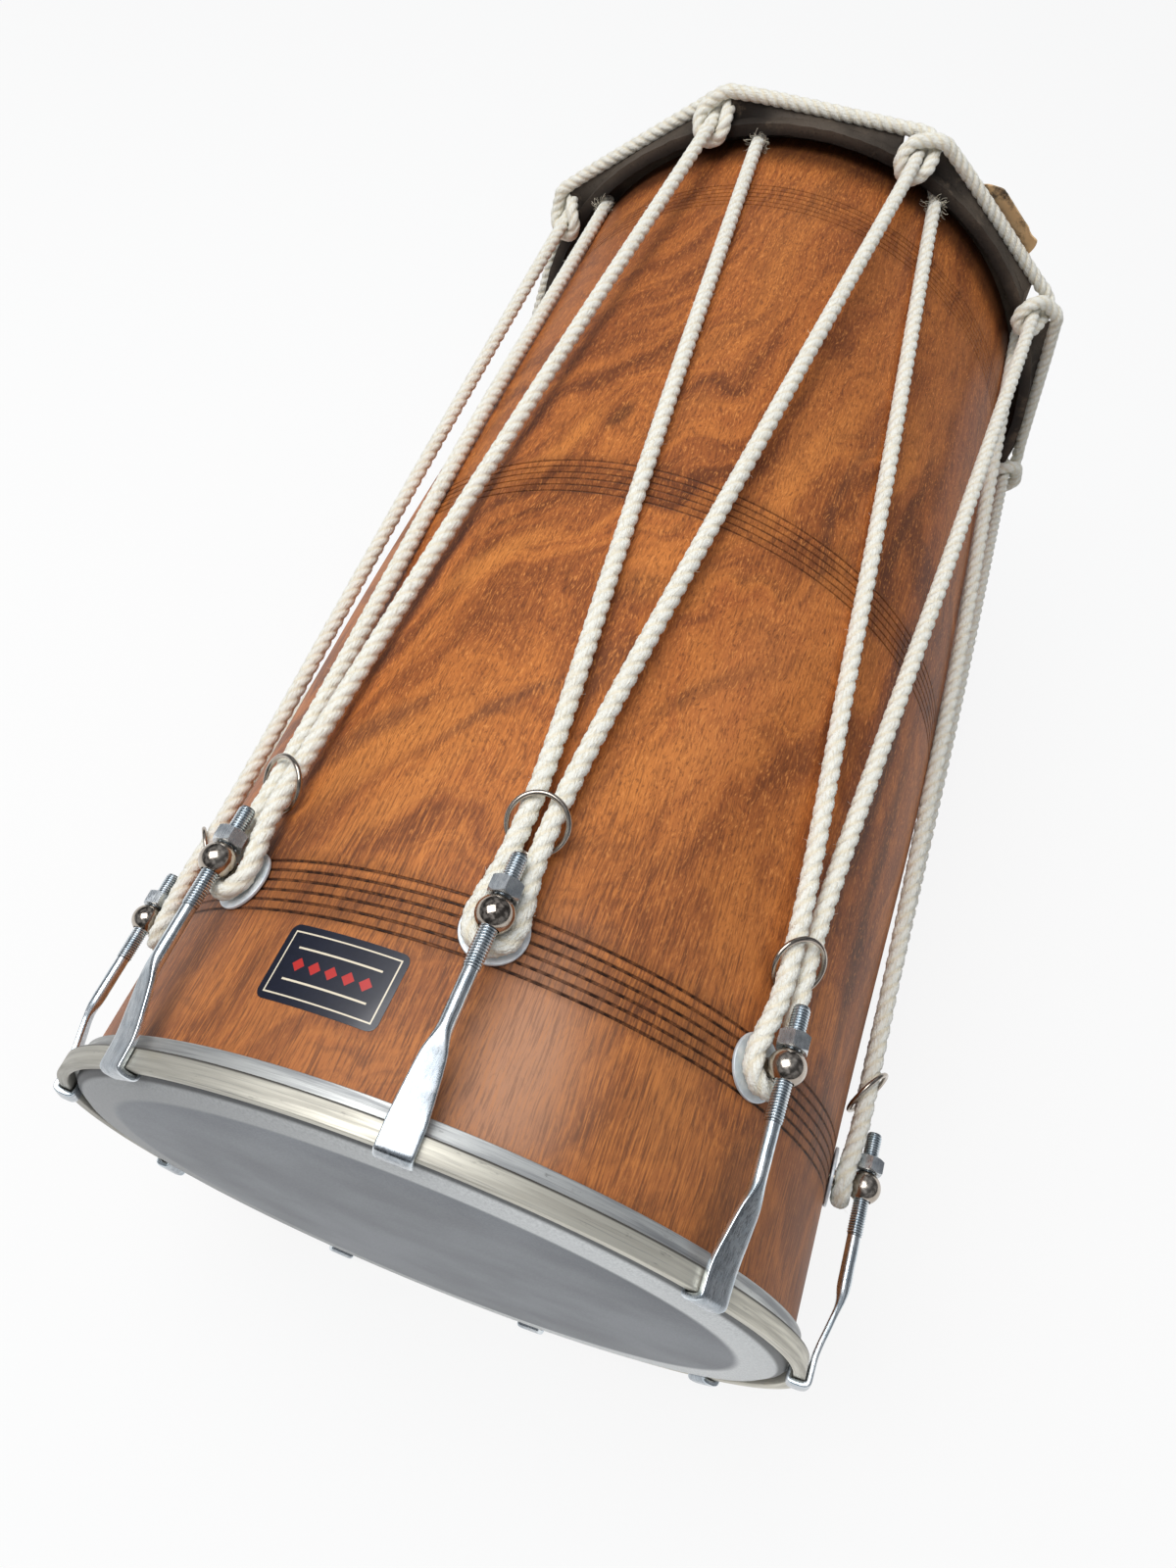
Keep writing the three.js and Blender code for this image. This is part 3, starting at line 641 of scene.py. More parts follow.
def make_wood():
    uniform = {
        "Roughness": 0.5, "Coat Weight": 0.05, "Coat Roughness": 0.3, "Specular IOR Level": 0.16}
    material, tree, coords = new_finish("lacquered_rosewood", uniform)
    drift = speckle(tree, coords, 9, 3.0, 0.55, (1, 0.6, 1), "Color")
    centred = vector_sum(tree, "SUBTRACT", drift, (0.5, 0.5, 0.5))
    wandering = vector_sum(tree, "ADD", coords, vector_sum(tree, "SCALE", centred, 0.055))
    rings = ring_place(tree, wandering)
    bands = speckle(tree, rings, 150, 3, 0.5)
    lines = speckle(tree, rings, 520, 4, 0.6)
    timber = ramp(
        tree, bands, (0.32, tint(116, 64, 36)), (0.45, tint(158, 90, 47)),
        (0.57, tint(190, 114, 56)), (0.7, tint(168, 95, 49)))
    timber = layered(tree, timber, (lines, 0.5, 0.68, 0, 0.42, (102, 56, 34)))
    for angle, from_rim, length, width, slant, colour, strength in FLAMES_AND_SHEEN:
        angle, slant = math.radians(angle), math.radians(slant)
        far = around(tree, wandering, angle, from_rim, length, width, slant)
        timber = mixed(tree, stepped(tree, far, 0.25, 1.25, strength, 0), timber, colour)
    distance = parts_of(tree, coords)["Y"]
    timber = layered(tree, timber, (distance, 0.32, 0.6, 0, 0.3, (138, 76, 40)))

    grain = vector_sum(tree, "ADD", coords, vector_sum(tree, "SCALE", centred, 0.016))
    fibres = speckle(tree, grain, 1200, 3, 0.6, (1, 0.034, 1))
    broad = speckle(tree, coords, 16, 2, 0.5, (1, 0.4, 1))
    straight = stepped(tree, distance, 0.08, 0.24, 1, 0.45)
    dark_fibres = product(tree, stepped(tree, fibres, 0.5, 0.64, 0, 0.72), straight)
    timber = mixed(tree, dark_fibres, timber, tint(96, 54, 34))
    rising = product(
        tree, stepped(tree, fibres, 0.49, 0.36), stepped(tree, broad, 0.34, 0.66, 0.35, 0.8))
    timber = mixed(tree, product(tree, rising, straight), timber, tint(220, 136, 66))

    swirl = vector_sum(tree, "SCALE", speckle(tree, coords, 55, 1, output="Color"), 0.007)
    curled = vector_sum(tree, "ADD", coords, swirl)
    flecks = speckle(tree, curled, 1150, 2, 0.6, (1, 0.2, 1))
    lively = stepped(tree, distance, 0.06, 0.2, 0.55, 1)
    pale_flecks = product(tree, stepped(tree, flecks, 0.56, 0.7, 0, 0.6), lively)
    timber = mixed(tree, pale_flecks, timber, tint(226, 148, 80))
    dark_flecks = product(tree, stepped(tree, flecks, 0.45, 0.33, 0, 0.55), lively)
    timber = mixed(tree, dark_flecks, timber, tint(88, 50, 34))

    # A second painted pinkish sheen near the rim, laid over the fibres and flecks.
    painted_sheen_spot = around(tree, coords, math.radians(10), 42, 72, 34, 0)
    # The last layer below is painted shade: the wood turns nearly black just in front of the lap,
    # as under its overhang.
    lap_from, lap_to = (hoop.front - 26) * MM, (hoop.front - 3) * MM
    timber = layered(
        tree, timber, (distance, 0.04, 0.2, 0.3, 0, (136, 98, 74)),
        (painted_sheen_spot, 0.1, 1.2, 0.42, 0, (194, 152, 126)),
        (distance, lap_from, lap_to, 0, 0.72, (44, 25, 18)))
    chips = stepped(tree, speckle(tree, coords, 260, 2), 0.3, 0.7, 0.6, 1.0)
    burnt = product(tree, marked(tree, "groove"), chips)
    timber = mixed(tree, burnt, timber, tint(46, 28, 20))
    relief = sum_of(tree, "ADD", product(tree, flecks, 0.2), fibres)
    return completed(material, timber, relief, 0.12, 0.0003)


wood = make_wood()
set_piece("barrel_shell", barrel, wood, replaces=["shell"], sharp_degrees=28)

# %% [markdown]
# The near head is a satin film drawn over the shell's edge. Its face is flat, and the collar where
# it turns down is painted paler than the face, as the light it catches, with painted shade on its
# left side. A painted shadow darkens the film's outer edge under the rim. The film's own metal hoop
# grips it just behind the rim.

# %% Film head and its hoop
FILM_THICKNESS = 0.35
SEAT = 0.3
FILM_SKIRT = 15.4
film_line = [
    (0, shell.front), (60, shell.front), (120, shell.front), crest[:2], knee[:2],
    (TREBLE_RADIUS, knee[1] + KNEE_ROUND), (TREBLE_RADIUS, FILM_SKIRT)]


def offset_line(line, distance):
    """A line moved to its right, with mitred corners"""
    points = [Vector(p) for p in line]
    moved = []
    for i, point in enumerate(points):
        one = (point - points[i - 1]) if i else (points[1] - point)
        two = (points[i + 1] - point) if i + 1 < len(points) else one
        sides = [Vector((run.y, -run.x)).normalized() for run in (one, two)]
        mitre = (sides[0] + sides[1]).normalized()
        moved.append(tuple(point + mitre * (distance / mitre.dot(sides[0]))))
    return moved


film_outer = offset_line(film_line, SEAT + FILM_THICKNESS)
film_inner = offset_line(film_line, SEAT)
film_mesh = turned("film", film_outer + film_inner[::-1])


def from_axis_of(tree, parts):
    return vector_sum(tree, "LENGTH", vector_from(tree, parts["X"], parts["Z"]))


def make_film():
    material, tree, coords = new_finish(
        "satin_film", {"Roughness": 0.5, "Specular IOR Level": 0.25})
    parts = parts_of(tree, coords)
    from_axis = from_axis_of(tree, parts)
    cloud = speckle(tree, coords, 14, 3)
    fine = speckle(tree, coords, 900, 2)
    face = two_tone(tree, cloud, 0.3, 0.7, (124, 127, 132), (146, 149, 154))
    # The collar is painted paler than the face as the light it catches, and painted darker towards
    # its left side as shade.
    collar_painted_light = two_tone(tree, parts["X"], -0.13, 0.1, (166, 167, 167), (240, 241, 239))
    colour = mixed(tree, stepped(tree, from_axis, 0.157, 0.162), face, collar_painted_light)
    grey = stepped(tree, fine, 0.3, 0.7, 0.9, 1.08)
    grain = add(tree, "ShaderNodeCombineColor", {0: grey, 1: grey, 2: grey}).outputs[0]
    colour = mixed(tree, 1.0, colour, grain, "MULTIPLY")
    # Painted shadow: the film turns nearly black at its outer edge, under the rim's inner edge.
    colour = layered(tree, colour, (from_axis, 0.1765, 0.1785, 0, 0.8, (58, 58, 60)))
    return completed(material, colour, fine, 0.12, 0.0002)


film = make_film()
set_piece("film_head", film_mesh, film, replaces=["treble_film"], sharp_degrees=60)
print("faces of the film:", len(film_mesh.polygons))

# %% [markdown]
# The rim and the film's hoop are plain aluminium, drawn and rolled, then knocked about on stages.
# The rim in front has been rubbed to a warm grey, and the hoop behind it is bluish and streaked.
# Both are darker towards their left side, and painted shade darkens them where one meets the
# other. The streaks run round the drum, so they need a coordinate that does: the angle is worked
# out in the material from the place on the drum.

# %% Finishes of the rim
FILM_HOOP_FOOT = 3.1


def ring_coords(tree, parts, radius):
    """Metres round the drum, along it and out from its axis"""
    angle = sum_of(tree, "ARCTAN2", parts["X"], parts["Z"])
    round_way = product(tree, angle, radius * MM)
    return vector_from(tree, round_way, parts["Y"], from_axis_of(tree, parts))


def make_aluminium(name, dull, pale, scuffing, seam):
    material, tree, coords = new_finish(name, {"Metallic": 0.7, "Specular IOR Level": 0.5})
    parts = parts_of(tree, coords)
    round_drum = ring_coords(tree, parts, rim.outer)
    scratches = speckle(tree, round_drum, 1300, 3, 0.6, (0.015, 1, 1))
    streaks = speckle(tree, round_drum, 420, 3, 0.6, (0.04, 1, 1))
    scuffs = speckle(tree, round_drum, 260, 4, 0.7, (0.3, 1, 1))
    stains = speckle(tree, round_drum, 34, 3, 0.6, (0.5, 1, 1))
    from_seam = sum_of(tree, "ABSOLUTE", sum_of(tree, "SUBTRACT", parts["Y"], seam * MM))
    colour = layered(
        tree, two_tone(tree, streaks, 0.32, 0.66, dull, pale),
        (scratches, 0.55, 0.7, 0, 0.4, (120, 120, 122)),
        (stains, 0.56, 0.76, 0, 0.35, (206, 190, 150)),
        (scuffs, 0.62, 0.72, 0, scuffing, (112, 108, 104)),
        # Darker towards the left side of the drum.
        (parts["X"], -0.2, 0.02, 0.6, 0, (138, 136, 131)),
        # Painted shade: a dark line along the seam, as in the gap and the step there.
        (from_seam, 0.0005, 0.0013, 0.85, 0, (50, 48, 46)))
    relief = sum_of(tree, "SUBTRACT", scratches, product(tree, scuffs, 0.6))
    roughness = stepped(tree, streaks, 0.3, 0.7, 0.62, 0.46)
    return completed(material, colour, relief, 0.25, 0.0003, roughness)


hoop_seam = film_hoop.front + FILM_HOOP_FOOT
rubbed = make_aluminium("rubbed_aluminium", (196, 192, 180), (226, 222, 208), 0.45, rim.back)
streaked = make_aluminium("streaked_aluminium", (166, 168, 170), (220, 222, 220), 0.5, hoop_seam)

# %% Rim and film hoop
RIM_FLANGE = 5.4
RIM_WALL = 3
FILM_HOOP_WALL = 2.6
EDGE_ROUND = 0.7
rim_section = [
    (rim.inner, rim.front), (rim.outer, rim.front), (rim.outer, rim.back),
    (rim.outer - RIM_WALL, rim.back), (rim.outer - RIM_WALL, RIM_FLANGE), (rim.inner, RIM_FLANGE)]
rim_mesh = turned("rim", softened(rim_section, EDGE_ROUND))
set_piece("treble_rim_ring", rim_mesh, rubbed, replaces=["treble_rim"])

hoop_side = film_hoop.inner + FILM_HOOP_WALL
hoop_section = [
    (film_hoop.inner, film_hoop.front), (film_hoop.outer, film_hoop.front),
    (film_hoop.outer, hoop_seam), (hoop_side, hoop_seam),
    (hoop_side, film_hoop.back), (film_hoop.inner, film_hoop.back)]
hoop_mesh = turned("film_hoop", softened(hoop_section, EDGE_ROUND / 2))
set_piece("film_hoop_ring", hoop_mesh, streaked, replaces=["treble_film_hoop"])
print("rim ends and film hoop starts, mm:", round(rim.back, 2), round(film_hoop.front, 2))

# %% [markdown]
# Both ropes are endless: the lacing goes from each lug up to the far hoop and back, and the hoop
# rope runs round the hoop with a half hitch on each leg. Their routes are the frame's own, point
# for point, so each rope stays clear of the hardware. A smooth curve is drawn through the points,
# the same kind that the frame's ropes follow.

# %% Sizes that the ropes follow
ROPE_DIAMETER = 8.8
ROPE_RADIUS = ROPE_DIAMETER / 2
HIDE_THICKNESS = 1.2
LOOP_LIFT = 1.1
HITCH_SHARE = 0.39
HOLE_SHARE = 0.6125
LUG_DISTANCE = 92
POST_DIAMETER = 8
LOOP_SLACK = 0.7
WASHER_THICKNESS = 1.6
RING_DISTANCE = 47
RING_MEAN_RADIUS = 13
RING_WIRE = 2.4
RING_TILT = math.radians(34)
RING_TRAVEL = 9
RING_LIFT = 1.2
LEG_GAP = 12
LEG_STEPS = (0.25, 0.5, 0.75)

lap_top = hoop.back + SEAT + HIDE_THICKNESS
lap_bottom = hoop.front - SEAT - HIDE_THICKNESS
lap_radius = hoop.outer + SEAT + HIDE_THICKNESS
lap_inner_radius = hoop.inner - SEAT - HIDE_THICKNESS
leg_radius = lap_radius + SEAT + ROPE_RADIUS
leg_top = lap_bottom - ROPE_DIAMETER
hole_radius = (TREBLE_RADIUS + BASS_SWELL + lap_inner_radius) / 2
washer_top = TREBLE_RADIUS + SEAT + WASHER_THICKNESS
loop_height = washer_top + LOOP_LIFT + ROPE_RADIUS
loop_radius = POST_DIAMETER / 2 + LOOP_SLACK + ROPE_RADIUS
ring_along = LUG_DISTANCE + RING_DISTANCE
pair_height = TREBLE_RADIUS + RING_LIFT + RING_WIRE / 2 + RING_MEAN_RADIUS * math.sin(RING_TILT)
pair_half = RING_TRAVEL + RING_MEAN_RADIUS * math.cos(RING_TILT)
pair_start, pair_end = ring_along - pair_half, ring_along + pair_half
pair_angle = LEG_GAP / 2 / pair_height
print("rings slide from", round(pair_start, 1), "to", round(pair_end, 1), "mm behind the rim")

# %% Points of the two ropes
CROSSING_SHARES = (
    (0.01, 0.55, -0.84), (0.03, 0.57, -0.05), (0.09, 0.38, 0.55), (0.19, -0.18, 0.84),
    (0.35, -0.74, 0.93), (0.55, -1.11, 0.96), (0.79, -1.34, 0.58), (0.96, -1.415, -0.39))
HITCH_TOP_SHARES = (
    (-1.32, 1.02, 0.93), (-0.23, 1.35, 0.91), (0.59, 1.44, 0.55), (1.11, 1.05, -0.11))
HITCH_FOOT_SHARES = (
    (1.17, 0.75, 0.42), (1.16, 0.63, 0), (1.12, 0.39, -0.37), (0.65, -0.3, -0.85),
    (-0.03, -0.53, -0.87), (-0.57, -0.38, -0.79), (-0.97, 0.19, -0.58), (-0.98, 0.79, -0.15),
    (-0.67, 1.32, 0.29), (0.06, 1.69, 0.71))
HITCH_END_SHARES = ((1.11, 2.08, -0.4), (2.44, 1.67, -0.08))


def between(start, end, share):
    return start + (end - start) * share


def eased(value, low, high):
    share = min(max((value - low) / (high - low), 0), 1)
    return share * share * (3 - 2 * share)


def leg_points(left_top, pair_left):
    """Three points on the leg that comes down from a hole, taut but never inside the barrel"""
    points = []
    for share in LEG_STEPS:
        distance = between(leg_top, pair_end, share)
        taut = between(hole_radius, pair_height, share)
        lying = barrel_radius(distance) + SEAT * 2 + ROPE_RADIUS
        points.append(place(between(left_top, pair_left, share), max(taut, lying), distance))
    return points


def lacing_points():
    points = []
    for station in range(STATION_COUNT):
        lug_at = lug_angle(station)
        pair_left, pair_right = lug_at - pair_angle, lug_at + pair_angle
        left_top = lug_at - PITCH * (1 - HOLE_SHARE)
        hitch, hole = lug_at + PITCH * HITCH_SHARE, lug_at + PITCH * HOLE_SHARE
        points += [place(left_top, hole_radius, leg_top), *leg_points(left_top, pair_left)]
        points += [place(pair_left, pair_height, end) for end in (pair_end, pair_start)]
        for quarter in range(5):
            turn = math.pi * quarter / 4
            across = -loop_radius * math.cos(turn)
            bottom = LUG_DISTANCE - loop_radius * math.sin(turn)
            points.append(place(lug_at + across / loop_height, loop_height, bottom))
        points += [place(pair_right, pair_height, end) for end in (pair_start, pair_end)]
        halfway = between(pair_right, hitch, 0.5)
        points.append(place(halfway, (pair_height + leg_radius) / 2, (pair_end + leg_top) / 2))
        points.append(place(hitch, leg_radius, leg_top))
        for way, out, up in CROSSING_SHARES:
            radius, distance = lap_radius + out * ROPE_DIAMETER, lap_top + up * ROPE_DIAMETER
            points.append(place(between(hitch, hole, way), radius, distance))
    return points


def hoop_rope_points():
    parts = (
        (HITCH_TOP_SHARES, lap_top), (HITCH_FOOT_SHARES, lap_bottom), (HITCH_END_SHARES, lap_top))
    points = []
    for station in range(STATION_COUNT):
        hitch = lug_angle(station) + PITCH * HITCH_SHARE
        for shares, level in parts:
            for across, out, up in shares:
                angle = hitch + across * ROPE_DIAMETER / leg_radius
                radius, distance = lap_radius + out * ROPE_DIAMETER, level + up * ROPE_DIAMETER
                points.append(place(angle, radius, distance))
    return points


# %% Draw a closed curve through points
def smooth_route(points, spacing=1.5):
    """A centripetal Catmull-Rom curve, sampled about every spacing"""
    route = []
    count = len(points)
    for i in range(count):
        before, start, end, after = (points[(i + k) % count] for k in (-1, 0, 1, 2))
        legs = (start - before, end - start, after - end)
        spans = [math.sqrt(leg.length) for leg in legs]
        leave = legs[0] / spans[0] + legs[1] / spans[1] - (end - before) / (spans[0] + spans[1])
        enter = legs[1] / spans[1] + legs[2] / spans[2] - (after - start) / (spans[1] + spans[2])
        leave, enter = leave * spans[1], enter * spans[1]
        steps = max(1, round((end - start).length / spacing))
        for k in range(steps):
            t = k / steps
            cubic = (2 * start - 2 * end + leave + enter) * t**3
            square = (3 * end - 3 * start - 2 * leave - enter) * t**2
            route.append(cubic + square + leave * t + start)
    return route


lacing_route = smooth_route(lacing_points())
hoop_route = smooth_route(hoop_rope_points())
for name, route in (("lacing", lacing_route), ("hoop rope", hoop_route)):
    length = sum((route[i] - route[i - 1]).length for i in range(len(route)))
    print(name, "length, m:", round(length * MM, 2))

# %% [markdown]
# A laid rope has three strands twisted round each other. Its section is three rounded lobes, and
# that section turns as it travels, so a tree of geometry nodes can make it: resample the route,
# give it a tilt that grows along its length, and sweep the section. The number of turns is rounded
# to a whole one, so that the endless rope meets itself. Three values are kept on the mesh for the
# finish: how high on a strand a point lies, the turn, and the way along the rope.

# %% Tree for a laid rope
STRANDS = 3


def new_tree(name, sockets):
    tree = bpy.data.node_groups.new(name, "GeometryNodeTree")
    tree.interface.new_socket("Geometry", in_out="OUTPUT", socket_type="NodeSocketGeometry")
    tree.interface.new_socket("Geometry", in_out="INPUT", socket_type="NodeSocketGeometry")
    for socket, (kind, default) in sockets.items():
        made = tree.interface.new_socket(socket, in_out="INPUT", socket_type="NodeSocket" + kind)
        if default is not None:
            made.default_value = default
    given = tree.nodes.new("NodeGroupInput")
    return tree, given.outputs


def keep(tree, geometry, name, value, kind="FLOAT"):
    inputs = {"Geometry": geometry, "Name": name, "Value": value}
    settings = {"data_type": kind, "domain": "POINT"}
    return add(tree, "GeometryNodeStoreNamedAttribute", inputs, **settings).outputs[0]


def end_tree(tree, geometry, material):
    real = add(tree, "GeometryNodeRealizeInstances", {0: geometry})
    smooth = add(tree, "GeometryNodeSetShadeSmooth", {0: real})
    finished = add(tree, "GeometryNodeSetMaterial", {0: smooth, "Material": material})
    end = tree.nodes.new("NodeGroupOutput")
    tree.links.new(finished.outputs[0], end.inputs[0])
    return tree


def laid_rope_tree():
    tree, given = new_tree("laid_rope", {
        "Radius": ("Float", 4.4), "Lay": ("Float", 24.0), "Spacing": ("Float", 2.5),
        "Groove": ("Float", 0.28), "Finish": ("Material", None)})
    route = add(tree, "GeometryNodeMeshToCurve", {"Mesh": given["Geometry"]})
    inputs = {"Curve": route, "Length": given["Spacing"]}
    route = add(tree, "GeometryNodeResampleCurve", inputs, mode="LENGTH")
    total = add(tree, "GeometryNodeSplineLength").outputs["Length"]
    turns = sum_of(tree, "ROUND", sum_of(tree, "DIVIDE", total, given["Lay"]))
    way = add(tree, "GeometryNodeSplineParameter").outputs
    tilt = product(tree, product(tree, way["Factor"], turns), 2 * math.pi)
    route = keep(tree, route, "lay_turn", tilt)
    route = keep(tree, route, "lay_way", way["Length"])
    route = add(tree, "GeometryNodeSetCurveTilt", {"Curve": route, "Tilt": tilt})
    inputs = {"Resolution": 18, "Radius": given["Radius"]}
    circle = add(tree, "GeometryNodeCurvePrimitiveCircle", inputs).outputs["Curve"]
    place_on = add(tree, "GeometryNodeInputPosition").outputs[0]
    parts = parts_of(tree, place_on)
    angle = sum_of(tree, "ARCTAN2", parts["Y"], parts["X"])
    lobe = sum_of(tree, "ABSOLUTE", sum_of(tree, "COSINE", product(tree, angle, STRANDS / 2)))
    crown = sum_of(tree, "POWER", lobe, 0.85)
    rise = product(tree, sum_of(tree, "SUBTRACT", crown, 1.0), given["Groove"])
    scale = sum_of(tree, "ADD", rise, 1.0)
    section = keep(tree, circle, "lay_crown", crown)
    section = keep(tree, section, "lay_section", place_on, "FLOAT_VECTOR")
    scaled = vector_sum(tree, "SCALE", place_on, scale)
    section = add(tree, "GeometryNodeSetPosition", {"Geometry": section, "Position": scaled})
    rope = add(tree, "GeometryNodeCurveToMesh", {"Curve": route, "Profile Curve": section})
    return end_tree(tree, rope, given["Finish"])


laid_rope = laid_rope_tree()

# %% [markdown]
# The rope is undyed cotton, nearly white on the crown of each strand, and painted shade makes it
# warmer and darker in the hollows between them. Fine yarns run along it, and handling has greyed it
# in places. The sheen of loose fibres softens its edge.

# %% Finish of the ropes
def make_cotton():
    uniform = {
        "Roughness": 0.9, "Specular IOR Level": 0.15, "Sheen Weight": 0.25, "Sheen Roughness": 0.5}
    material, tree, coords = new_finish("laid_cotton", uniform)
    crown, turn, way = (marked(tree, name) for name in ("lay_crown", "lay_turn", "lay_way"))
    inputs = {"Vector": marked(tree, "lay_section", "Vector"), "Angle": turn}
    straight = add(tree, "ShaderNodeVectorRotate", inputs, rotation_type="Z_AXIS")
    parts = parts_of(tree, straight)
    rope_coords = vector_from(tree, parts["X"], parts["Y"], way)
    yarns = speckle(tree, rope_coords, 1.1, 3, 0.65, (1, 1, 0.2))
    fuzz = speckle(tree, coords, 750, 3, 0.7)
    wear = speckle(tree, coords, 22, 3, 0.6)
    colour = layered(
        # Painted shade: the hollows between strands are a warmer, darker cream than the crowns.
        tree, two_tone(tree, crown, 0.0, 0.85, (246, 237, 214), (255, 253, 242)),
        (yarns, 0.48, 0.64, 0, 0.65, (232, 220, 192)), (wear, 0.55, 0.75, 0, 0.25, (238, 228, 206)))
    return completed(material, colour, sum_of(tree, "ADD", yarns, fuzz), 0.85, 0.0011)


cotton = make_cotton()

# %% Lay the two ropes
ROPE_CROWN = 4.75
STRAND_GROOVE = 0.2
LACING_LAY = 25.5
HOOP_ROPE_LAY = 21.5


def route_mesh(name, route):
    edges = [(i, (i + 1) % len(route)) for i in range(len(route))]
    mesh = bpy.data.meshes.new(name)
    mesh.from_pydata([tuple(p) for p in route], edges, [])
    return mesh


def lay_rope(name, route, lay, spacing, node):
    values = {"Radius": ROPE_CROWN, "Groove": STRAND_GROOVE, "Lay": lay, "Spacing": spacing}
    mesh = through_tree(route_mesh(name, route), laid_rope, Finish=cotton, **values)
    print(name, "faces:", len(mesh.polygons))
    return set_piece(name, mesh, cotton, replaces=[node], sharp_degrees=180)


lacing = lay_rope("lacing_cotton", lacing_route, LACING_LAY, 2.5, "lacing_rope")
lay_rope("hoop_cotton", hoop_route, HOOP_ROPE_LAY, 1.6, "hoop_rope")

# %% [markdown]
# Zinc plate is bright and slightly blue, and its mirror is broken by fine brushing. Painted shade
# darkens it in the roots of the threads, and it is slaty where the blades were forged, apart from
# their rubbed edges.
# The washers are paler and duller, and the nuts are worn by the spanner. Nickel is warmer and
# darker, and it mirrors the room, with a few pits where it has worn.

# %% Finishes of the hardware
def make_zinc(name, dark, pale, metal, smooth, rough):
    material, tree, coords = new_finish(name, {"Metallic": metal, "Anisotropic": 0.25})
    brushed = speckle(tree, coords, 1300, 3, 0.6, (1, 0.14, 1))
    blotch = speckle(tree, coords, 120, 3, 0.6)
    colour = layered(
        tree, two_tone(tree, blotch, 0.35, 0.65, dark, pale),
        (brushed, 0.55, 0.75, 0, 0.3, (158, 168, 176)),
        # Painted shade in the roots of the threads.
        (marked(tree, "thread_root"), 0.25, 0.9, 0, 0.75, (84, 92, 98)))
    slaty = stepped(tree, speckle(tree, coords, 500, 3, 0.6, (1, 0.2, 1)), 0.3, 0.7, 0.5, 0.8)
    slaty = product(tree, marked(tree, "forged"), slaty)
    colour = mixed(tree, slaty, colour, tint(140, 144, 150))
    relief = sum_of(tree, "ADD", brushed, blotch)
    roughness = stepped(tree, brushed, 0.3, 0.7, smooth, rough)
    return completed(material, colour, relief, 0.06, 0.0002, roughness)


def make_nickel():
    material, tree, coords = new_finish("worn_nickel", {"Metallic": 1.0})
    pits = speckle(tree, coords, 700, 3, 0.7)
    haze = speckle(tree, coords, 90, 3, 0.6)
    pitted = stepped(tree, pits, 0.66, 0.74)
    colour = two_tone(tree, haze, 0.35, 0.65, (168, 157, 146), (196, 187, 176))
    colour = mixed(tree, product(tree, pitted, 0.7), colour, tint(84, 76, 70))
    relief = sum_of(tree, "SUBTRACT", haze, pitted)
    roughness = stepped(tree, haze, 0.3, 0.7, 0.1, 0.26)
    return completed(material, colour, relief, 0.15, 0.0002, roughness)


zinc = make_zinc("bright_zinc", (206, 218, 226), (234, 240, 244), 1.0, 0.2, 0.36)
worn_zinc = make_zinc("worn_zinc", (184, 190, 195), (226, 230, 232), 0.9, 0.22, 0.36)
pale_zinc = make_zinc("pale_zinc", (214, 224, 230), (240, 244, 246), 0.45, 0.4, 0.56)
nickel = make_nickel()

# %% [markdown]
# Each hook is one steel rod. Its far end is threaded, and its near end was forged flat, bent down
# to the rim and bent again into a claw. A forging changes its section smoothly, so the blade is a
# loft: a line of stations, each with a width, a thickness and a roundness, from a flat bar with
# soft edges to a round rod.

# %% Loft the blade of a hook
THREAD_RADIUS = 3.8
ROD_RADIUS = 3.2
THREAD_PITCH = 1.25
THREAD_START = LUG_DISTANCE - 23
THREAD_END = LUG_DISTANCE + 27
BLADE_THICKNESS = 3
BLADE_NECK = 45
SECTION_STEPS = 24

LUG_HEIGHT = 17.4
LIP_THICKNESS = 1.7

lug_radius = TREBLE_RADIUS + LUG_HEIGHT
blade_middle = rim.outer + SEAT + BLADE_THICKNESS / 2
claw_middle = -SEAT - BLADE_THICKNESS / 2
lip_middle = (TREBLE_RADIUS + SEAT * 2 + FILM_THICKNESS + rim.inner - 0.9) / 2

# Distance along the drum, radius, width, thickness, roundness (2 is round, 8 is nearly square)
claw = [
    (4.2, lip_middle, 14.2, LIP_THICKNESS, 7), (0.5, lip_middle, 14.6, LIP_THICKNESS, 7),
    (-0.9, lip_middle + 0.3, 14.8, 2.2, 7), (claw_middle, lip_middle + 1.6, 15, 2.8, 7),
    (claw_middle, blade_middle - 3.2, 15, BLADE_THICKNESS, 7),
    (claw_middle + 0.5, blade_middle - 1.2, 15, BLADE_THICKNESS, 7),
    (claw_middle + 1.6, blade_middle - 0.2, 15, BLADE_THICKNESS, 7),
    (3.5, blade_middle, 15, BLADE_THICKNESS, 7), (10, blade_middle + 0.3, 14.9, BLADE_THICKNESS, 7)]
# The same along the slope, where the second value is the share of the way up to the lug
slope = (
    (16, 0.2, 14.1, 3, 7), (22, 0.42, 13, 3, 7), (28, 0.64, 11.8, 3, 6.5),
    (32.5, 0.81, 10.8, 3.1, 6), (35.5, 0.91, 9.8, 3.5, 5), (38.5, 0.98, 8.3, 4.4, 3.6),
    (41.5, 1, 7, 5.6, 2.6), (BLADE_NECK, 1, 6.4, 6.4, 2))
blade = [(d, between(blade_middle, lug_radius, share), *section) for d, share, *section in slope]
rod = [(d, lug_radius, ROD_RADIUS * 2, ROD_RADIUS * 2, 2) for d in (52, 60, THREAD_START - 1)]


def superellipse(width, thickness, roundness):
    points = []
    for i in range(SECTION_STEPS):
        turn = 2 * math.pi * (i + 0.5) / SECTION_STEPS
        c, s = math.cos(turn), math.sin(turn)
        points.append((
            math.copysign(abs(c) ** (2 / roundness), c) * width / 2,
            math.copysign(abs(s) ** (2 / roundness), s) * thickness / 2))
    return points


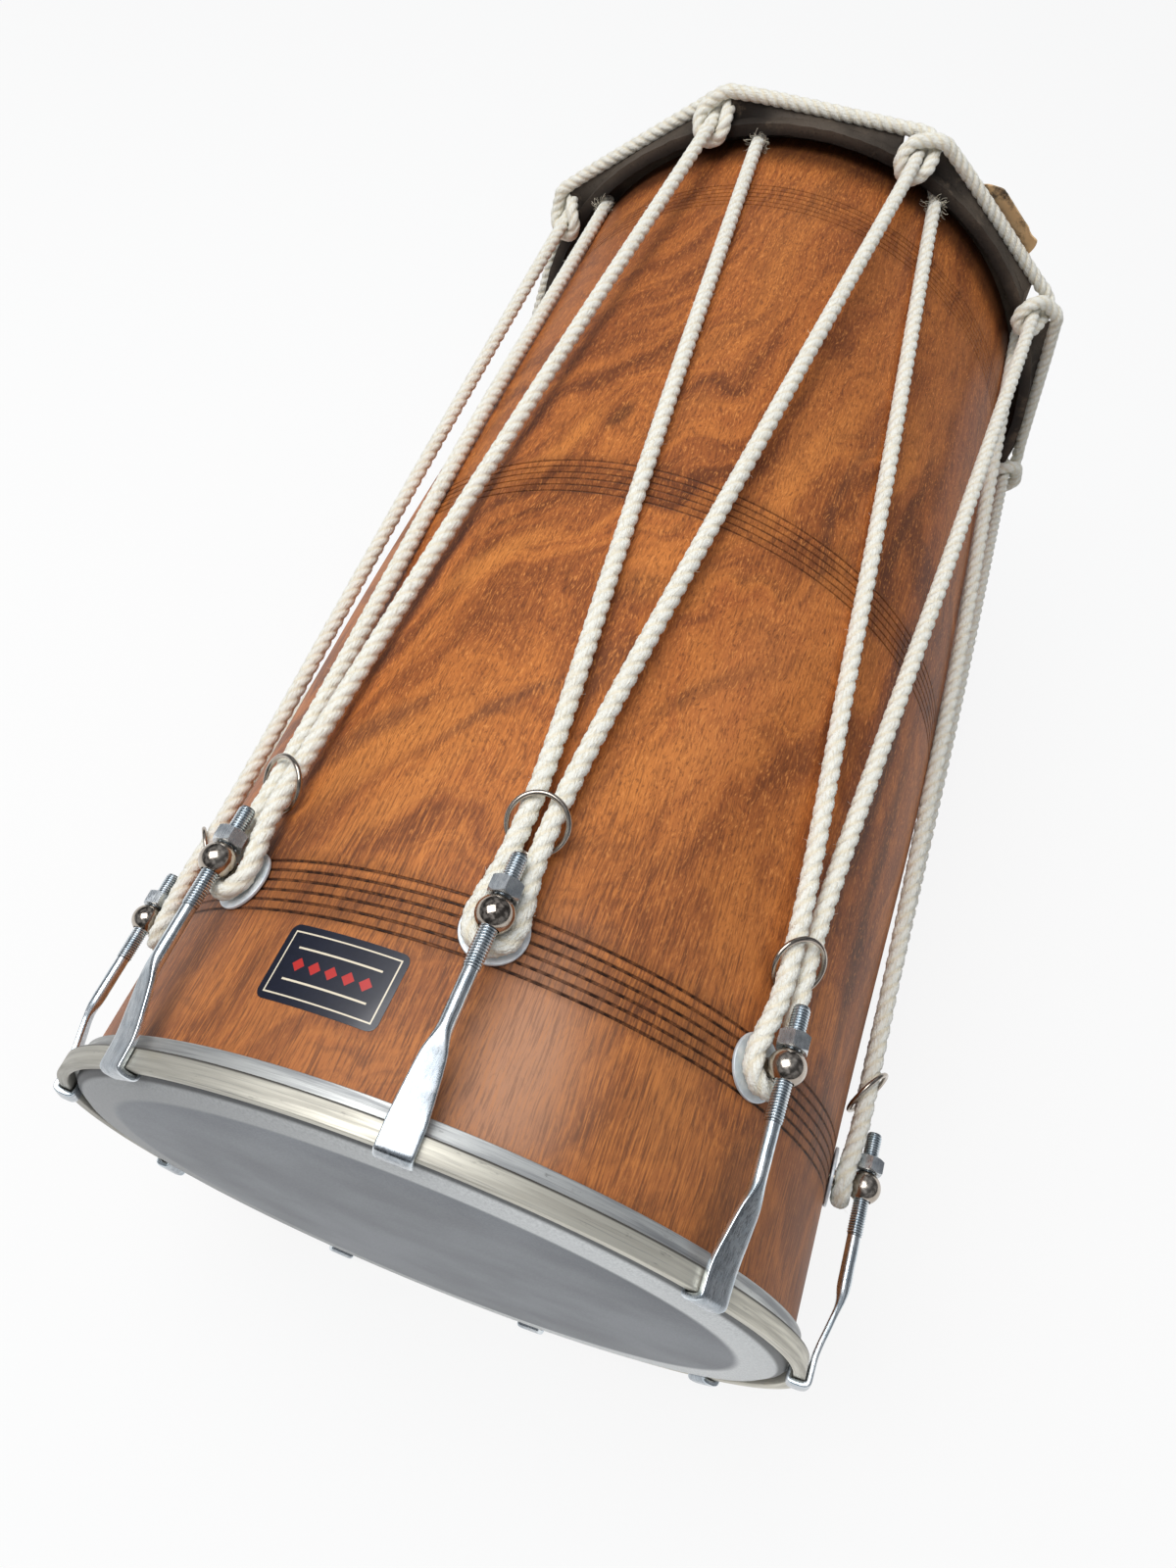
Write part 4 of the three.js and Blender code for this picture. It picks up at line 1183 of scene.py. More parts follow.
def finer(stations, steps):
    """The stations of a loft with others set smoothly between them"""
    rows = []
    last = len(stations) - 1
    for i in range(last):
        four = [stations[max(i - 1, 0)], *stations[i:i + 2], stations[min(i + 2, last)]]
        for k in range(steps):
            t = k / steps
            weights = (-0.5 * t + t**2 - 0.5 * t**3, 1 - 2.5 * t**2 + 1.5 * t**3,
                       0.5 * t + 2 * t**2 - 1.5 * t**3, -0.5 * t**2 + 0.5 * t**3)
            rows.append([sum(w * row[c] for w, row in zip(weights, four)) for c in range(5)])
    return [*rows, list(stations[-1])]


def blade_mesh():
    rows = finer([*claw, *blade, *rod], 3)
    vertices, forged = [], []
    across = Vector((1, 0, 0))
    for i, (distance, radius, width, thickness, roundness) in enumerate(rows):
        ahead, behind = rows[min(i + 1, len(rows) - 1)], rows[max(i - 1, 0)]
        run = Vector((0, ahead[0] - behind[0], ahead[1] - behind[1])).normalized()
        normal = across.cross(run)
        centre = Vector((0, distance, radius))
        section = superellipse(width, thickness, roundness)
        vertices += [centre + across * x + normal * y for x, y in section]
        flat = eased(distance, BLADE_NECK, BLADE_NECK - 12)
        forged += [flat * (1 - eased(abs(x) / width, 0.4, 0.49)) for x, _ in section]
    faces = tube_faces(len(rows), SECTION_STEPS)
    for row in (0, len(rows) - 1):
        faces.append(tuple(range(row * SECTION_STEPS, (row + 1) * SECTION_STEPS)))
    mesh = new_mesh("blade", vertices, faces)
    mark_points(mesh, "forged", forged)
    return faced_out(mesh)


hook_blade = blade_mesh()
print("faces of a blade:", len(hook_blade.polygons))

# %% [markdown]
# A screw thread is one ridge that climbs round the rod by a fixed pitch. The tree takes the forged
# blade and adds the threaded length to it: a finely cut cylinder whose radius follows the distance
# along it less its turn round it, with the first and last turns running out.

# %% Tree for a threaded rod
ROWS_A_TURN = 6.0
RUN_OUT = 1.6
THREAD_OVERLAP = 1.2


def threaded_rod_tree():
    tree, given = new_tree("threaded_rod", {
        "Outer Radius": ("Float", 3.8), "Depth": ("Float", 0.7), "Pitch": ("Float", 1.25),
        "Start": ("Float", 69.0), "End": ("Float", 119.0), "Height": ("Float", 198.4),
        "Finish": ("Material", None)})
    length = sum_of(tree, "SUBTRACT", given["End"], given["Start"])
    rows = product(tree, sum_of(tree, "DIVIDE", length, given["Pitch"]), ROWS_A_TURN)
    radius, depth = given["Outer Radius"], given["Depth"]
    inputs = {"Vertices": 20, "Side Segments": rows, "Radius": radius, "Depth": length}
    bar = add(tree, "GeometryNodeMeshCylinder", inputs).outputs["Mesh"]
    place_on = add(tree, "GeometryNodeInputPosition").outputs[0]
    parts = parts_of(tree, place_on)
    turn = sum_of(tree, "DIVIDE", sum_of(tree, "ARCTAN2", parts["Y"], parts["X"]), 2 * math.pi)
    phase = sum_of(tree, "SUBTRACT", sum_of(tree, "DIVIDE", parts["Z"], given["Pitch"]), turn)
    ridge = sum_of(tree, "PINGPONG", phase, 0.5)
    flat = sum_of(tree, "MINIMUM", product(tree, ridge, 2.6), 1.0)
    from_middle = sum_of(tree, "ABSOLUTE", parts["Z"])
    from_end = sum_of(tree, "SUBTRACT", sum_of(tree, "DIVIDE", length, 2.0), from_middle)
    inputs = {"Value": from_end, "From Min": 0.0, "From Max": RUN_OUT}
    fading = add(tree, "ShaderNodeMapRange", inputs).outputs[0]
    cut = product(tree, sum_of(tree, "SUBTRACT", 1.0, flat), depth)
    taper = product(tree, sum_of(tree, "SUBTRACT", 1.0, fading), depth)
    deep = sum_of(tree, "MAXIMUM", cut, taper)
    bar = keep(tree, bar, "thread_root", sum_of(tree, "DIVIDE", deep, depth))
    share = sum_of(tree, "SUBTRACT", 1.0, sum_of(tree, "DIVIDE", deep, radius))
    moved = vector_sum(tree, "MULTIPLY", place_on, vector_from(tree, share, share, 1.0))
    thread = add(tree, "GeometryNodeSetPosition", {"Geometry": bar, "Position": moved})
    halfway = sum_of(tree, "DIVIDE", sum_of(tree, "ADD", given["Start"], given["End"]), 2.0)
    centre = vector_from(tree, y=halfway, z=given["Height"])
    laid = add(tree, "GeometryNodeTransform", {
        "Geometry": thread, "Translation": centre, "Rotation": (math.pi / 2, 0, 0)})
    whole = add(tree, "GeometryNodeJoinGeometry")
    tree.links.new(laid.outputs[0], whole.inputs[0])
    tree.links.new(given["Geometry"], whole.inputs[0])
    return end_tree(tree, whole, given["Finish"])


threaded_rod = threaded_rod_tree()
hook_mesh = through_tree(hook_blade, threaded_rod, **{
    "Outer Radius": THREAD_RADIUS, "Pitch": THREAD_PITCH, "Start": THREAD_START - THREAD_OVERLAP,
    "End": THREAD_END, "Height": lug_radius, "Finish": zinc})
for n in STATIONS:
    set_at_station(n, "hook", "steel", hook_mesh.copy(), zinc, 50)
print("faces of a hook:", len(hook_mesh.polygons))

# %% [markdown]
# A nut is a hexagon whose corners were turned away at both ends, with a bored and chamfered hole.
# It is cut as a machinist would: a hexagonal bar, met by a turned blank with sloping ends, less the
# bore. The modifiers do the cutting and are applied at once. Each nut was tightened until its part
# of the head was in tune, so each stopped at an angle of its own.

# %% The nuts
NUT_FLATS = 13
NUT_HEIGHT = 7.5
NUT_SLACK = 0.35
NUT_STOPS = (12, 26, -24, -20, 8, 40, 17, 51, 33)
NUT_SLOPE = 0.9
BORE_FLARE = 1.6
BALL_RADIUS = 8


def cut_by(mesh, tool, operation):
    other = put_in_scene("tool", tool)
    settings = {"operation": operation, "object": other, "solver": "EXACT"}
    result = evaluated(mesh, ("BOOLEAN", settings))
    bpy.data.objects.remove(other)
    return result


def nut_mesh():
    near = LUG_DISTANCE + math.sqrt(BALL_RADIUS**2 - (THREAD_RADIUS + NUT_SLACK) ** 2) + SEAT
    far = near + NUT_HEIGHT
    corner = NUT_FLATS / 2 / math.cos(math.pi / 6)
    bar = turned("bar", [(0, near), (corner, near), (corner, far), (0, far)], 6)
    bar.transform(Matrix.Rotation(math.radians(30), 4, "Y"))
    round_corner = corner + 0.3
    blank = turned("blank", [
        (0, near), (corner - NUT_SLOPE * 1.4, near), (round_corner, near + NUT_SLOPE + 0.2),
        (round_corner, far - NUT_SLOPE - 0.2), (corner - NUT_SLOPE * 1.4, far), (0, far)], 72)
    bore = THREAD_RADIUS + NUT_SLACK / 2
    drill = turned("drill", [
        (0, near - 1), (bore + BORE_FLARE, near - 1), (bore, near + 0.7), (bore, far - 0.7),
        (bore + BORE_FLARE, far + 1), (0, far + 1)], 48)
    return cut_by(cut_by(bar, blank, "INTERSECT"), drill, "DIFFERENCE")


nut = nut_mesh()
for n, stop in zip(STATIONS, NUT_STOPS):
    one = nut.copy()
    stopped = Matrix.Rotation(math.radians(stop), 4, "Y")
    one.transform(Matrix.Translation((0, 0, lug_radius)) @ stopped)
    set_at_station(n, "nut", "steel", one, worn_zinc, 25)
print("faces of a nut:", len(nut.polygons))

# %% [markdown]
# The ball lugs and the washers under them are alike at all nine stations and stay with the shell.
# One of each is drawn at the top, and a tree sets the copies round the drum. The ball is turned
# with its post, then drilled across for the rod.

# %% Tree that sets copies round the drum
def round_the_drum_tree():
    tree, given = new_tree("round_the_drum", {"Count": ("Int", 9), "Finish": ("Material", None)})
    points = add(tree, "GeometryNodePoints", {"Count": given["Count"]})
    step = sum_of(tree, "DIVIDE", 2 * math.pi, given["Count"])
    angle = product(tree, add(tree, "GeometryNodeInputIndex"), step)
    copies = add(tree, "GeometryNodeInstanceOnPoints", {
        "Points": points, "Instance": given["Geometry"], "Rotation": vector_from(tree, y=angle)})
    return end_tree(tree, copies, given["Finish"])


round_the_drum = round_the_drum_tree()

# %% Ball lugs and washers
SHANK_RADIUS = 3
SHANK_DEPTH = 10
BORE_SLACK = 0.4
BORE_MOUTH = 4.4
WASHER_RADIUS = 14.5
WASHER_EDGE = 0.45


def lug_mesh():
    post = POST_DIAMETER / 2
    low = math.pi - math.asin(post / BALL_RADIUS)
    arc = [(BALL_RADIUS * math.sin(t), BALL_RADIUS * math.cos(t))
           for t in (low * (1 - i / 28) for i in range(29))]
    foot, bottom = washer_top + SEAT - lug_radius, TREBLE_RADIUS - SHANK_DEPTH - lug_radius
    stem = [
        (0, bottom), (SHANK_RADIUS, bottom), (SHANK_RADIUS, foot), (post, foot), (post, foot + 0.3)]
    stud = turned("stud", [*stem, *arc[:-1], (0, BALL_RADIUS)], 64)
    stud.transform(Matrix.Rotation(math.pi / 2, 4, "X"))
    bore = THREAD_RADIUS + BORE_SLACK
    wide = bore + BORE_MOUTH
    drill = turned("drill", [
        (0, -12), (wide, -12), (bore, -6.3), (bore, 6.3), (wide, 12), (0, 12)], 48)
    drilled = cut_by(stud, drill, "DIFFERENCE")
    drilled.transform(Matrix.Translation((0, LUG_DISTANCE, lug_radius)))
    return drilled


def washer_mesh():
    hole = SHANK_RADIUS + BORE_SLACK
    section = [
        (hole, 0), (WASHER_RADIUS, 0), (WASHER_RADIUS, WASHER_THICKNESS), (hole, WASHER_THICKNESS)]
    disc = turned("washer", softened(section, WASHER_EDGE), 72)
    disc.transform(Matrix.Rotation(math.pi / 2, 4, "X"))
    disc.transform(Matrix.Translation((0, LUG_DISTANCE, TREBLE_RADIUS + SEAT)))
    return disc


lugs = through_tree(lug_mesh(), round_the_drum, Count=STATION_COUNT, Finish=nickel)
washers = through_tree(washer_mesh(), round_the_drum, Count=STATION_COUNT, Finish=pale_zinc)
lug_nodes, washer_nodes = ([f"{kind}_{n}" for n in STATIONS] for kind in ("ball_lug", "washer"))
set_piece("ball_lugs_nickel", lugs, nickel, replaces=lug_nodes)
set_piece("washers_zinc", washers, pale_zinc, replaces=washer_nodes)
print("faces of the lugs and washers:", len(lugs.polygons), len(washers.polygons))

# %% [markdown]
# A tuning ring is a length of round wire, bent to a circle and welded. It leans over the pair of
# legs that it draws together. The weld shows as a slight swelling, turned to a different side on
# each ring, as they come.

# %% The tuning rings
RING_STEPS = 72
WIRE_STEPS = 16
WELD_SWELL = 0.12
WELD_LENGTH = 1.1
WELD_STEP = 2.1


def ring_mesh(weld_angle):
    vertices = []
    for i in range(RING_STEPS):
        turn = 2 * math.pi * i / RING_STEPS
        apart = math.remainder(turn - weld_angle, 2 * math.pi) * RING_MEAN_RADIUS
        wire = RING_WIRE / 2 * (1 + WELD_SWELL * math.exp(-((apart / WELD_LENGTH) ** 2)))
        for k in range(WIRE_STEPS):
            bend = 2 * math.pi * k / WIRE_STEPS
            out, up = RING_MEAN_RADIUS + wire * math.cos(bend), wire * math.sin(bend)
            vertices.append(Vector((out * math.cos(turn), out * math.sin(turn), up)))
    mesh = faced_out(new_mesh("ring", vertices, tube_faces(RING_STEPS, WIRE_STEPS, closed=True)))
    leaning = Matrix.Rotation(RING_TILT, 4, "X")
    mesh.transform(Matrix.Translation((0, ring_along, pair_height)) @ leaning)
    return mesh


for n in STATIONS:
    set_at_station(n, "ring", "wire", ring_mesh(WELD_STEP * n), nickel, 180)
print("nine rings welded")

# %% [markdown]
# The far head is thick hide, laid on wet. It was lapped round an iron hoop, so its edge is drawn
# into small folds between the shell and the hoop. The sheet is turned finely and then moved point
# by point.

# %% The hide
LAP_OVERLAP = 4.2
HIDE_STEPS = 432
FOLD_DEPTH = 0.55
FOLDS_ROUND = 28
FOLDS_FROM, FOLDS_FULL = 178, 190

bass_radius = TREBLE_RADIUS + BASS_SWELL
shell_end = shell.back - BASS_CREST.y
hoop_down = [(hoop.outer, between(hoop.back, hoop.front, share)) for share in (0, 0.33, 0.67, 1)]
hide_line = [
    *((radius, shell.back) for radius in (0, 60, 110, 150)), bass_crest[:2],
    (bass_radius, shell_end),
    (between(bass_radius, hoop.inner, 0.5), between(shell_end, hoop.back, 0.5)),
    (hoop.inner, hoop.back), (between(hoop.inner, hoop.outer, 0.5), hoop.back), *hoop_down,
    (hoop.inner, hoop.front), (hoop.inner, hoop.front + LAP_OVERLAP)]
hide_outer = offset_line(hide_line, -SEAT - HIDE_THICKNESS)
hide_inner = offset_line(hide_line, -SEAT)
hide_mesh = turned("hide", hide_outer + hide_inner[::-1], HIDE_STEPS)

for vertex in hide_mesh.vertices:
    x, distance, z = vertex.co
    radius = math.hypot(x, z)
    if radius > TREBLE_RADIUS - BASS_CREST.x:
        round_way = Vector((x, z)) * (FOLDS_ROUND / radius)
        spread = Vector((round_way.x, round_way.y, distance * 0.05))
        fold = noise.noise(spread) * FOLD_DEPTH * eased(radius, FOLDS_FROM, FOLDS_FULL)
        grown = (radius + fold) / radius
        vertex.co = (x * grown, distance + fold * 0.6, z * grown)


def make_hide():
    material, tree, coords = new_finish("raw_hide", {"Roughness": 0.72, "Specular IOR Level": 0.3})
    blotch = speckle(tree, coords, 11, 4, 0.6)
    pores = speckle(tree, coords, 620, 3, 0.7)
    veins = speckle(tree, coords, 45, 5, 0.75)
    colour = layered(
        tree, two_tone(tree, blotch, 0.35, 0.66, (44, 38, 33), (88, 78, 68)),
        (veins, 0.54, 0.72, 0, 0.5, (128, 112, 94)), (pores, 0.56, 0.7, 0, 0.6, (34, 28, 24)))
    parts = parts_of(tree, coords)
    # Painted shade: the lap's inner face turns nearly black near the shell, in front of the hoop,
    # where the lap overhangs the barrel.
    shade_from, shade_to = lap_inner_radius * MM, (lap_inner_radius + 8) * MM
    shade_near_shell = stepped(tree, from_axis_of(tree, parts), shade_from, shade_to, 0.85, 0)
    in_front = stepped(tree, parts["Y"], hoop.front * MM, hoop.back * MM, 1, 0)
    colour = mixed(tree, product(tree, shade_near_shell, in_front), colour, tint(22, 16, 13))
    worn = product(tree, marked(tree, "bare"), stepped(tree, veins, 0.3, 0.5))
    colour = mixed(tree, worn, colour, tint(222, 184, 136))
    relief = sum_of(tree, "ADD", product(tree, veins, 0.8), pores)
    return completed(material, colour, relief, 0.5, 0.0007)


hide = make_hide()
set_piece("hide_head", hide_mesh, hide, replaces=["bass_hide"], sharp_degrees=50)
print("faces of the hide:", len(hide_mesh.polygons))

# %% [markdown]
# The skin was trimmed by hand, and on one stretch its edge was left long: it turns outwards on the
# far side of the hoop rope and stands past it, pale where it is worn through. The rope's own route
# gives the place, so the edge is bent round the rope with a little room. Between its hitches the
# rope also draws the lap outwards, so no light shows between the two.

# %% The edge of the hide that was left long
FLAP_FROM = math.radians(24)
FLAP_TO = math.radians(52)
FLAP_COLUMNS = 72
FLAP_ROWS = 16
FLAP_ROOM = 1.5
FLAP_PROUD = 13
FLAP_DROP = 3
FLAP_BEND = (165, 140, 115, 92)
FLAP_OUT = (0.33, 0.67, 1)
LIP_CLEAR = (10, 9)
LIP_COLUMNS = 40
LIP_ROWS = 6


def rope_at(angle):
    """Radius and distance of the hoop rope where it passes an angle"""
    near = min(hoop_route, key=lambda p: abs(math.atan2(p.x, p.z) - angle))
    return math.hypot(near.x, near.z), near.y


def sheet_faces(columns, rows, first=0):
    """Quads of a sheet whose points were listed column by column"""
    wide = rows + 1
    corners = [(i * wide + j + first) for i in range(columns) for j in range(rows)]
    return [(k, k + wide, k + wide + 1, k + 1) for k in corners]


def flap_mesh():
    vertices, worn = [], []
    bend = ROPE_CROWN + FLAP_ROOM
    for i in range(FLAP_COLUMNS + 1):
        angle = between(FLAP_FROM, FLAP_TO, i / FLAP_COLUMNS)
        window = eased(i, 0, FLAP_COLUMNS * 0.3) * (1 - eased(i, FLAP_COLUMNS * 0.72, FLAP_COLUMNS))
        ragged = 1.02 + 0.22 * noise.noise(Vector((angle * 13, 1.5, 0)))
        radius, distance = rope_at(angle)
        path = [Vector((lap_radius - 9, lap_top - 0.5)), Vector((lap_radius - 6.5, lap_top + 1.2))]
        for turn in (math.radians(degrees) for degrees in FLAP_BEND):
            path.append(Vector((radius + bend * math.cos(turn), distance + bend * math.sin(turn))))
        last = path[-1]
        path += [last + Vector((FLAP_PROUD * share, -FLAP_DROP * share**2)) for share in FLAP_OUT]
        reach_out = (len(path) - 1) * min(window * ragged, 1)
        for j in range(FLAP_ROWS + 1):
            at = max(reach_out, 1.0) * j / FLAP_ROWS
            low = min(int(at), len(path) - 2)
            spot = path[low].lerp(path[low + 1], at - low)
            crumple = noise.noise(Vector((angle * 22, at * 0.7, 4))) * 0.5 * eased(at, 2, 5)
            vertices.append(place(angle, spot.x, spot.y + crumple))
            worn.append(eased(j, FLAP_ROWS * 0.45, FLAP_ROWS))
    mesh = new_mesh("flap", vertices, sheet_faces(FLAP_COLUMNS, FLAP_ROWS))
    mark_points(mesh, "bare", worn)
    return evaluated(mesh, ("SOLIDIFY", {"thickness": HIDE_THICKNESS, "offset": 1}))


def lip_mesh():
    """Skin drawn out between the hitches, from the lap to just short of the rope"""
    vertices, faces = [], []
    for station in range(STATION_COUNT):
        hitch = lug_angle(station) + PITCH * HITCH_SHARE
        start, end = hitch + LIP_CLEAR[0] / lap_radius, hitch + PITCH - LIP_CLEAR[1] / lap_radius
        faces += sheet_faces(LIP_COLUMNS, LIP_ROWS, len(vertices))
        for i in range(LIP_COLUMNS + 1):
            angle = between(start, end, i / LIP_COLUMNS)
            radius, distance = rope_at(math.remainder(angle, 2 * math.pi))
            inner = Vector((lap_radius - 0.6, lap_top - 2.6))
            outer = Vector((max(radius - ROPE_CROWN + 0.5, lap_radius - 0.3), distance - 0.6))
            for j in range(LIP_ROWS + 1):
                spot = inner.lerp(outer, j / LIP_ROWS)
                crease = noise.noise(Vector((angle * 30, j * 0.3, station))) * 0.5 * min(j, 2) / 2
                vertices.append(place(angle, spot.x, spot.y + crease))
    mesh = new_mesh("lip", vertices, faces)
    return evaluated(mesh, ("SOLIDIFY", {"thickness": HIDE_THICKNESS, "offset": 0}))


flap = flap_mesh()
lip = lip_mesh()
set_piece("hide_long_edge", flap, hide, sharp_degrees=60)
set_piece("hide_drawn_out", lip, hide, sharp_degrees=60)
print("faces of the long edge and the drawn-out skin:", len(flap.polygons), len(lip.polygons))

# %% [markdown]
# Loose fibres stand off the cotton, except where the rings rub it smooth, and at each hole in the
# hide the rope and the skin are frayed into a tuft. Both are the same tree: it scatters points on a
# surface and grows a short bent fibre on each, with its length and lean drawn from a fixed seed.

# %% Tree for loose fibres
WIRE_RADIUS = 0.03


def loose_fibres_tree():
    tree, given = new_tree("loose_fibres", {
        "Density": ("Float", 0.02), "Length": ("Float", 3.0), "Thickness": ("Float", 0.09),
        "Lean": ("Float", 1.1), "Seed": ("Int", 1), "Finish": ("Material", None)})
    points = add(tree, "GeometryNodeDistributePointsOnFaces", {
        "Mesh": given["Geometry"], "Density": given["Density"], "Seed": given["Seed"]})
    line = add(tree, "GeometryNodeCurvePrimitiveBezierSegment", {
        "Resolution": 4, "Start": (0, 0, 0), "Start Handle": (0, 0, 0.45),
        "End Handle": (0.25, 0.05, 0.75), "End": (0.6, 0.1, 0.9)}, mode="POSITION")
    inputs = {"Resolution": 3, "Radius": WIRE_RADIUS}
    round_wire = add(tree, "GeometryNodeCurvePrimitiveCircle", inputs)
    fibre = add(tree, "GeometryNodeCurveToMesh", {
        "Curve": line, "Profile Curve": round_wire.outputs["Curve"], "Fill Caps": True})
    lean = add(tree, "FunctionNodeRandomValue", {
        0: (-1, -1, -3), 1: (1, 1, 3), "Seed": given["Seed"]}, data_type="FLOAT_VECTOR")
    leaning = vector_sum(tree, "SCALE", lean.outputs[0], given["Lean"])
    turned_by = add(tree, "FunctionNodeEulerToRotation", {0: leaning})
    stance = add(tree, "FunctionNodeRotateRotation", {
        "Rotation": points.outputs["Rotation"], "Rotate By": turned_by}, rotation_space="LOCAL")
    size = add(tree, "FunctionNodeRandomValue", {2: 0.35, 3: 1.2, "Seed": 7}, data_type="FLOAT")
    scale = product(tree, size.outputs[1], given["Length"])
    width = sum_of(tree, "DIVIDE", given["Thickness"], 2 * WIRE_RADIUS)
    grown = vector_from(tree, scale, width, scale)
    copies = add(tree, "GeometryNodeInstanceOnPoints", {
        "Points": points.outputs["Points"], "Instance": fibre, "Rotation": stance, "Scale": grown})
    return end_tree(tree, copies, given["Finish"])


loose_fibres = loose_fibres_tree()

# %% Loose fibres on the ropes, and tufts at the holes
TUFT_RADIUS = 5.4
TUFT_HEIGHT = 3.0
TUFT_SIDES = 12


def tuft_bed(name):
    """A short sleeve round the rope where it leaves each hole"""
    vertices, faces = [], []
    for station in range(STATION_COUNT):
        hole = lug_angle(station) + PITCH * HOLE_SHARE
        start = len(vertices)
        out, across = place(hole, 1, 0), place(hole + math.pi / 2, 1, 0)
        for row in range(2):
            centre = place(hole, hole_radius, lap_bottom - 1 - row * TUFT_HEIGHT)
            for k in range(TUFT_SIDES):
                turn = 2 * math.pi * k / TUFT_SIDES
                away = out * math.cos(turn) + across * math.sin(turn)
                vertices.append(centre + away * TUFT_RADIUS)
        for k in range(TUFT_SIDES):
            one, two = start + k, start + (k + 1) % TUFT_SIDES
            faces.append((one, two, two + TUFT_SIDES, one + TUFT_SIDES))
    return faced_out(new_mesh(name, vertices, faces))


def smooth_where_rings_slide(mesh, reach):
    """Drop the faces that a ring rubs as it slides, so no loose fibre grows there"""
    surface = bmesh.new()
    surface.from_mesh(mesh)
    rubbed_faces = [
        face for face in surface.faces if abs(face.calc_center_median().y - ring_along) < reach]
    bmesh.ops.delete(surface, geom=rubbed_faces, context="FACES")
    surface.to_mesh(mesh)
    surface.free()
    return len(rubbed_faces)


fluff_bed = lacing.data.copy()
fluff_bed.transform(drum.inverted())
print("faces kept free of fluff:", smooth_where_rings_slide(fluff_bed, pair_half + RING_WIRE))
fluff = through_tree(fluff_bed, loose_fibres, **{
    "Density": 0.006, "Length": 2.1, "Thickness": 0.07, "Lean": 0.8, "Seed": 3, "Finish": cotton})
tufts = through_tree(tuft_bed("tuft_bed"), loose_fibres, **{
    "Density": 0.55, "Length": 5.0, "Thickness": 0.16, "Lean": 0.9, "Seed": 11, "Finish": cotton})
set_piece("rope_fluff", fluff, cotton, sharp_degrees=180)
set_piece("rope_tufts", tufts, cotton, sharp_degrees=180)
print("faces of the fluff and tufts:", len(fluff.polygons), len(tufts.polygons))

# %% [markdown]
# A small label is stuck to the barrel between two hooks: dark blue film with a cream line round it,
# two bars and a row of diamonds. It is a thin sheet with rounded corners, bent to the barrel, and
# its own map carries the pattern in millimetres.

# %% The label
LABEL_WIDTH = 57
LABEL_HEIGHT = 33.5
LABEL_CORNER = 4
LABEL_ANGLE = math.radians(-17.35)
LABEL_DISTANCE = 56
LABEL_SLANT = math.radians(-2.2)
LABEL_THICKNESS = 0.15
LABEL_LIFT = 0.08
LABEL_COLUMNS = 52
LABEL_ROWS = 32
LINE_INSET = 3.2
BAR_DISTANCE = 7.0
ROW_HALF = 20.0
DIAMOND_PITCH = 8.0


def label_mesh():
    vertices, spots = [], []
    edge_u, edge_v = LABEL_WIDTH / 2 - LABEL_CORNER, LABEL_HEIGHT / 2 - LABEL_CORNER
    for i in range(LABEL_COLUMNS + 1):
        for j in range(LABEL_ROWS + 1):
            u = (i / LABEL_COLUMNS - 0.5) * LABEL_WIDTH
            v = (j / LABEL_ROWS - 0.5) * LABEL_HEIGHT
            over = Vector((max(abs(u) - edge_u, 0), max(abs(v) - edge_v, 0)))
            if over.x and over.y and over.length > LABEL_CORNER:
                over *= LABEL_CORNER / over.length
                u, v = math.copysign(edge_u + over.x, u), math.copysign(edge_v + over.y, v)
            spots.append((u, v))
            across, along_drum = Matrix.Rotation(LABEL_SLANT, 2) @ Vector((u, v))
            distance = LABEL_DISTANCE + along_drum
            radius = barrel_radius(distance) + LABEL_LIFT + LABEL_THICKNESS
            vertices.append(place(LABEL_ANGLE + across / radius, radius, distance))
    mesh = new_mesh("label", vertices, sheet_faces(LABEL_COLUMNS, LABEL_ROWS))
    layer = mesh.uv_layers.new(name="label_map")
    for loop in mesh.loops:
        layer.data[loop.index].uv = spots[loop.vertex_index]
    return evaluated(mesh, ("SOLIDIFY", {"thickness": LABEL_THICKNESS, "offset": -1}))


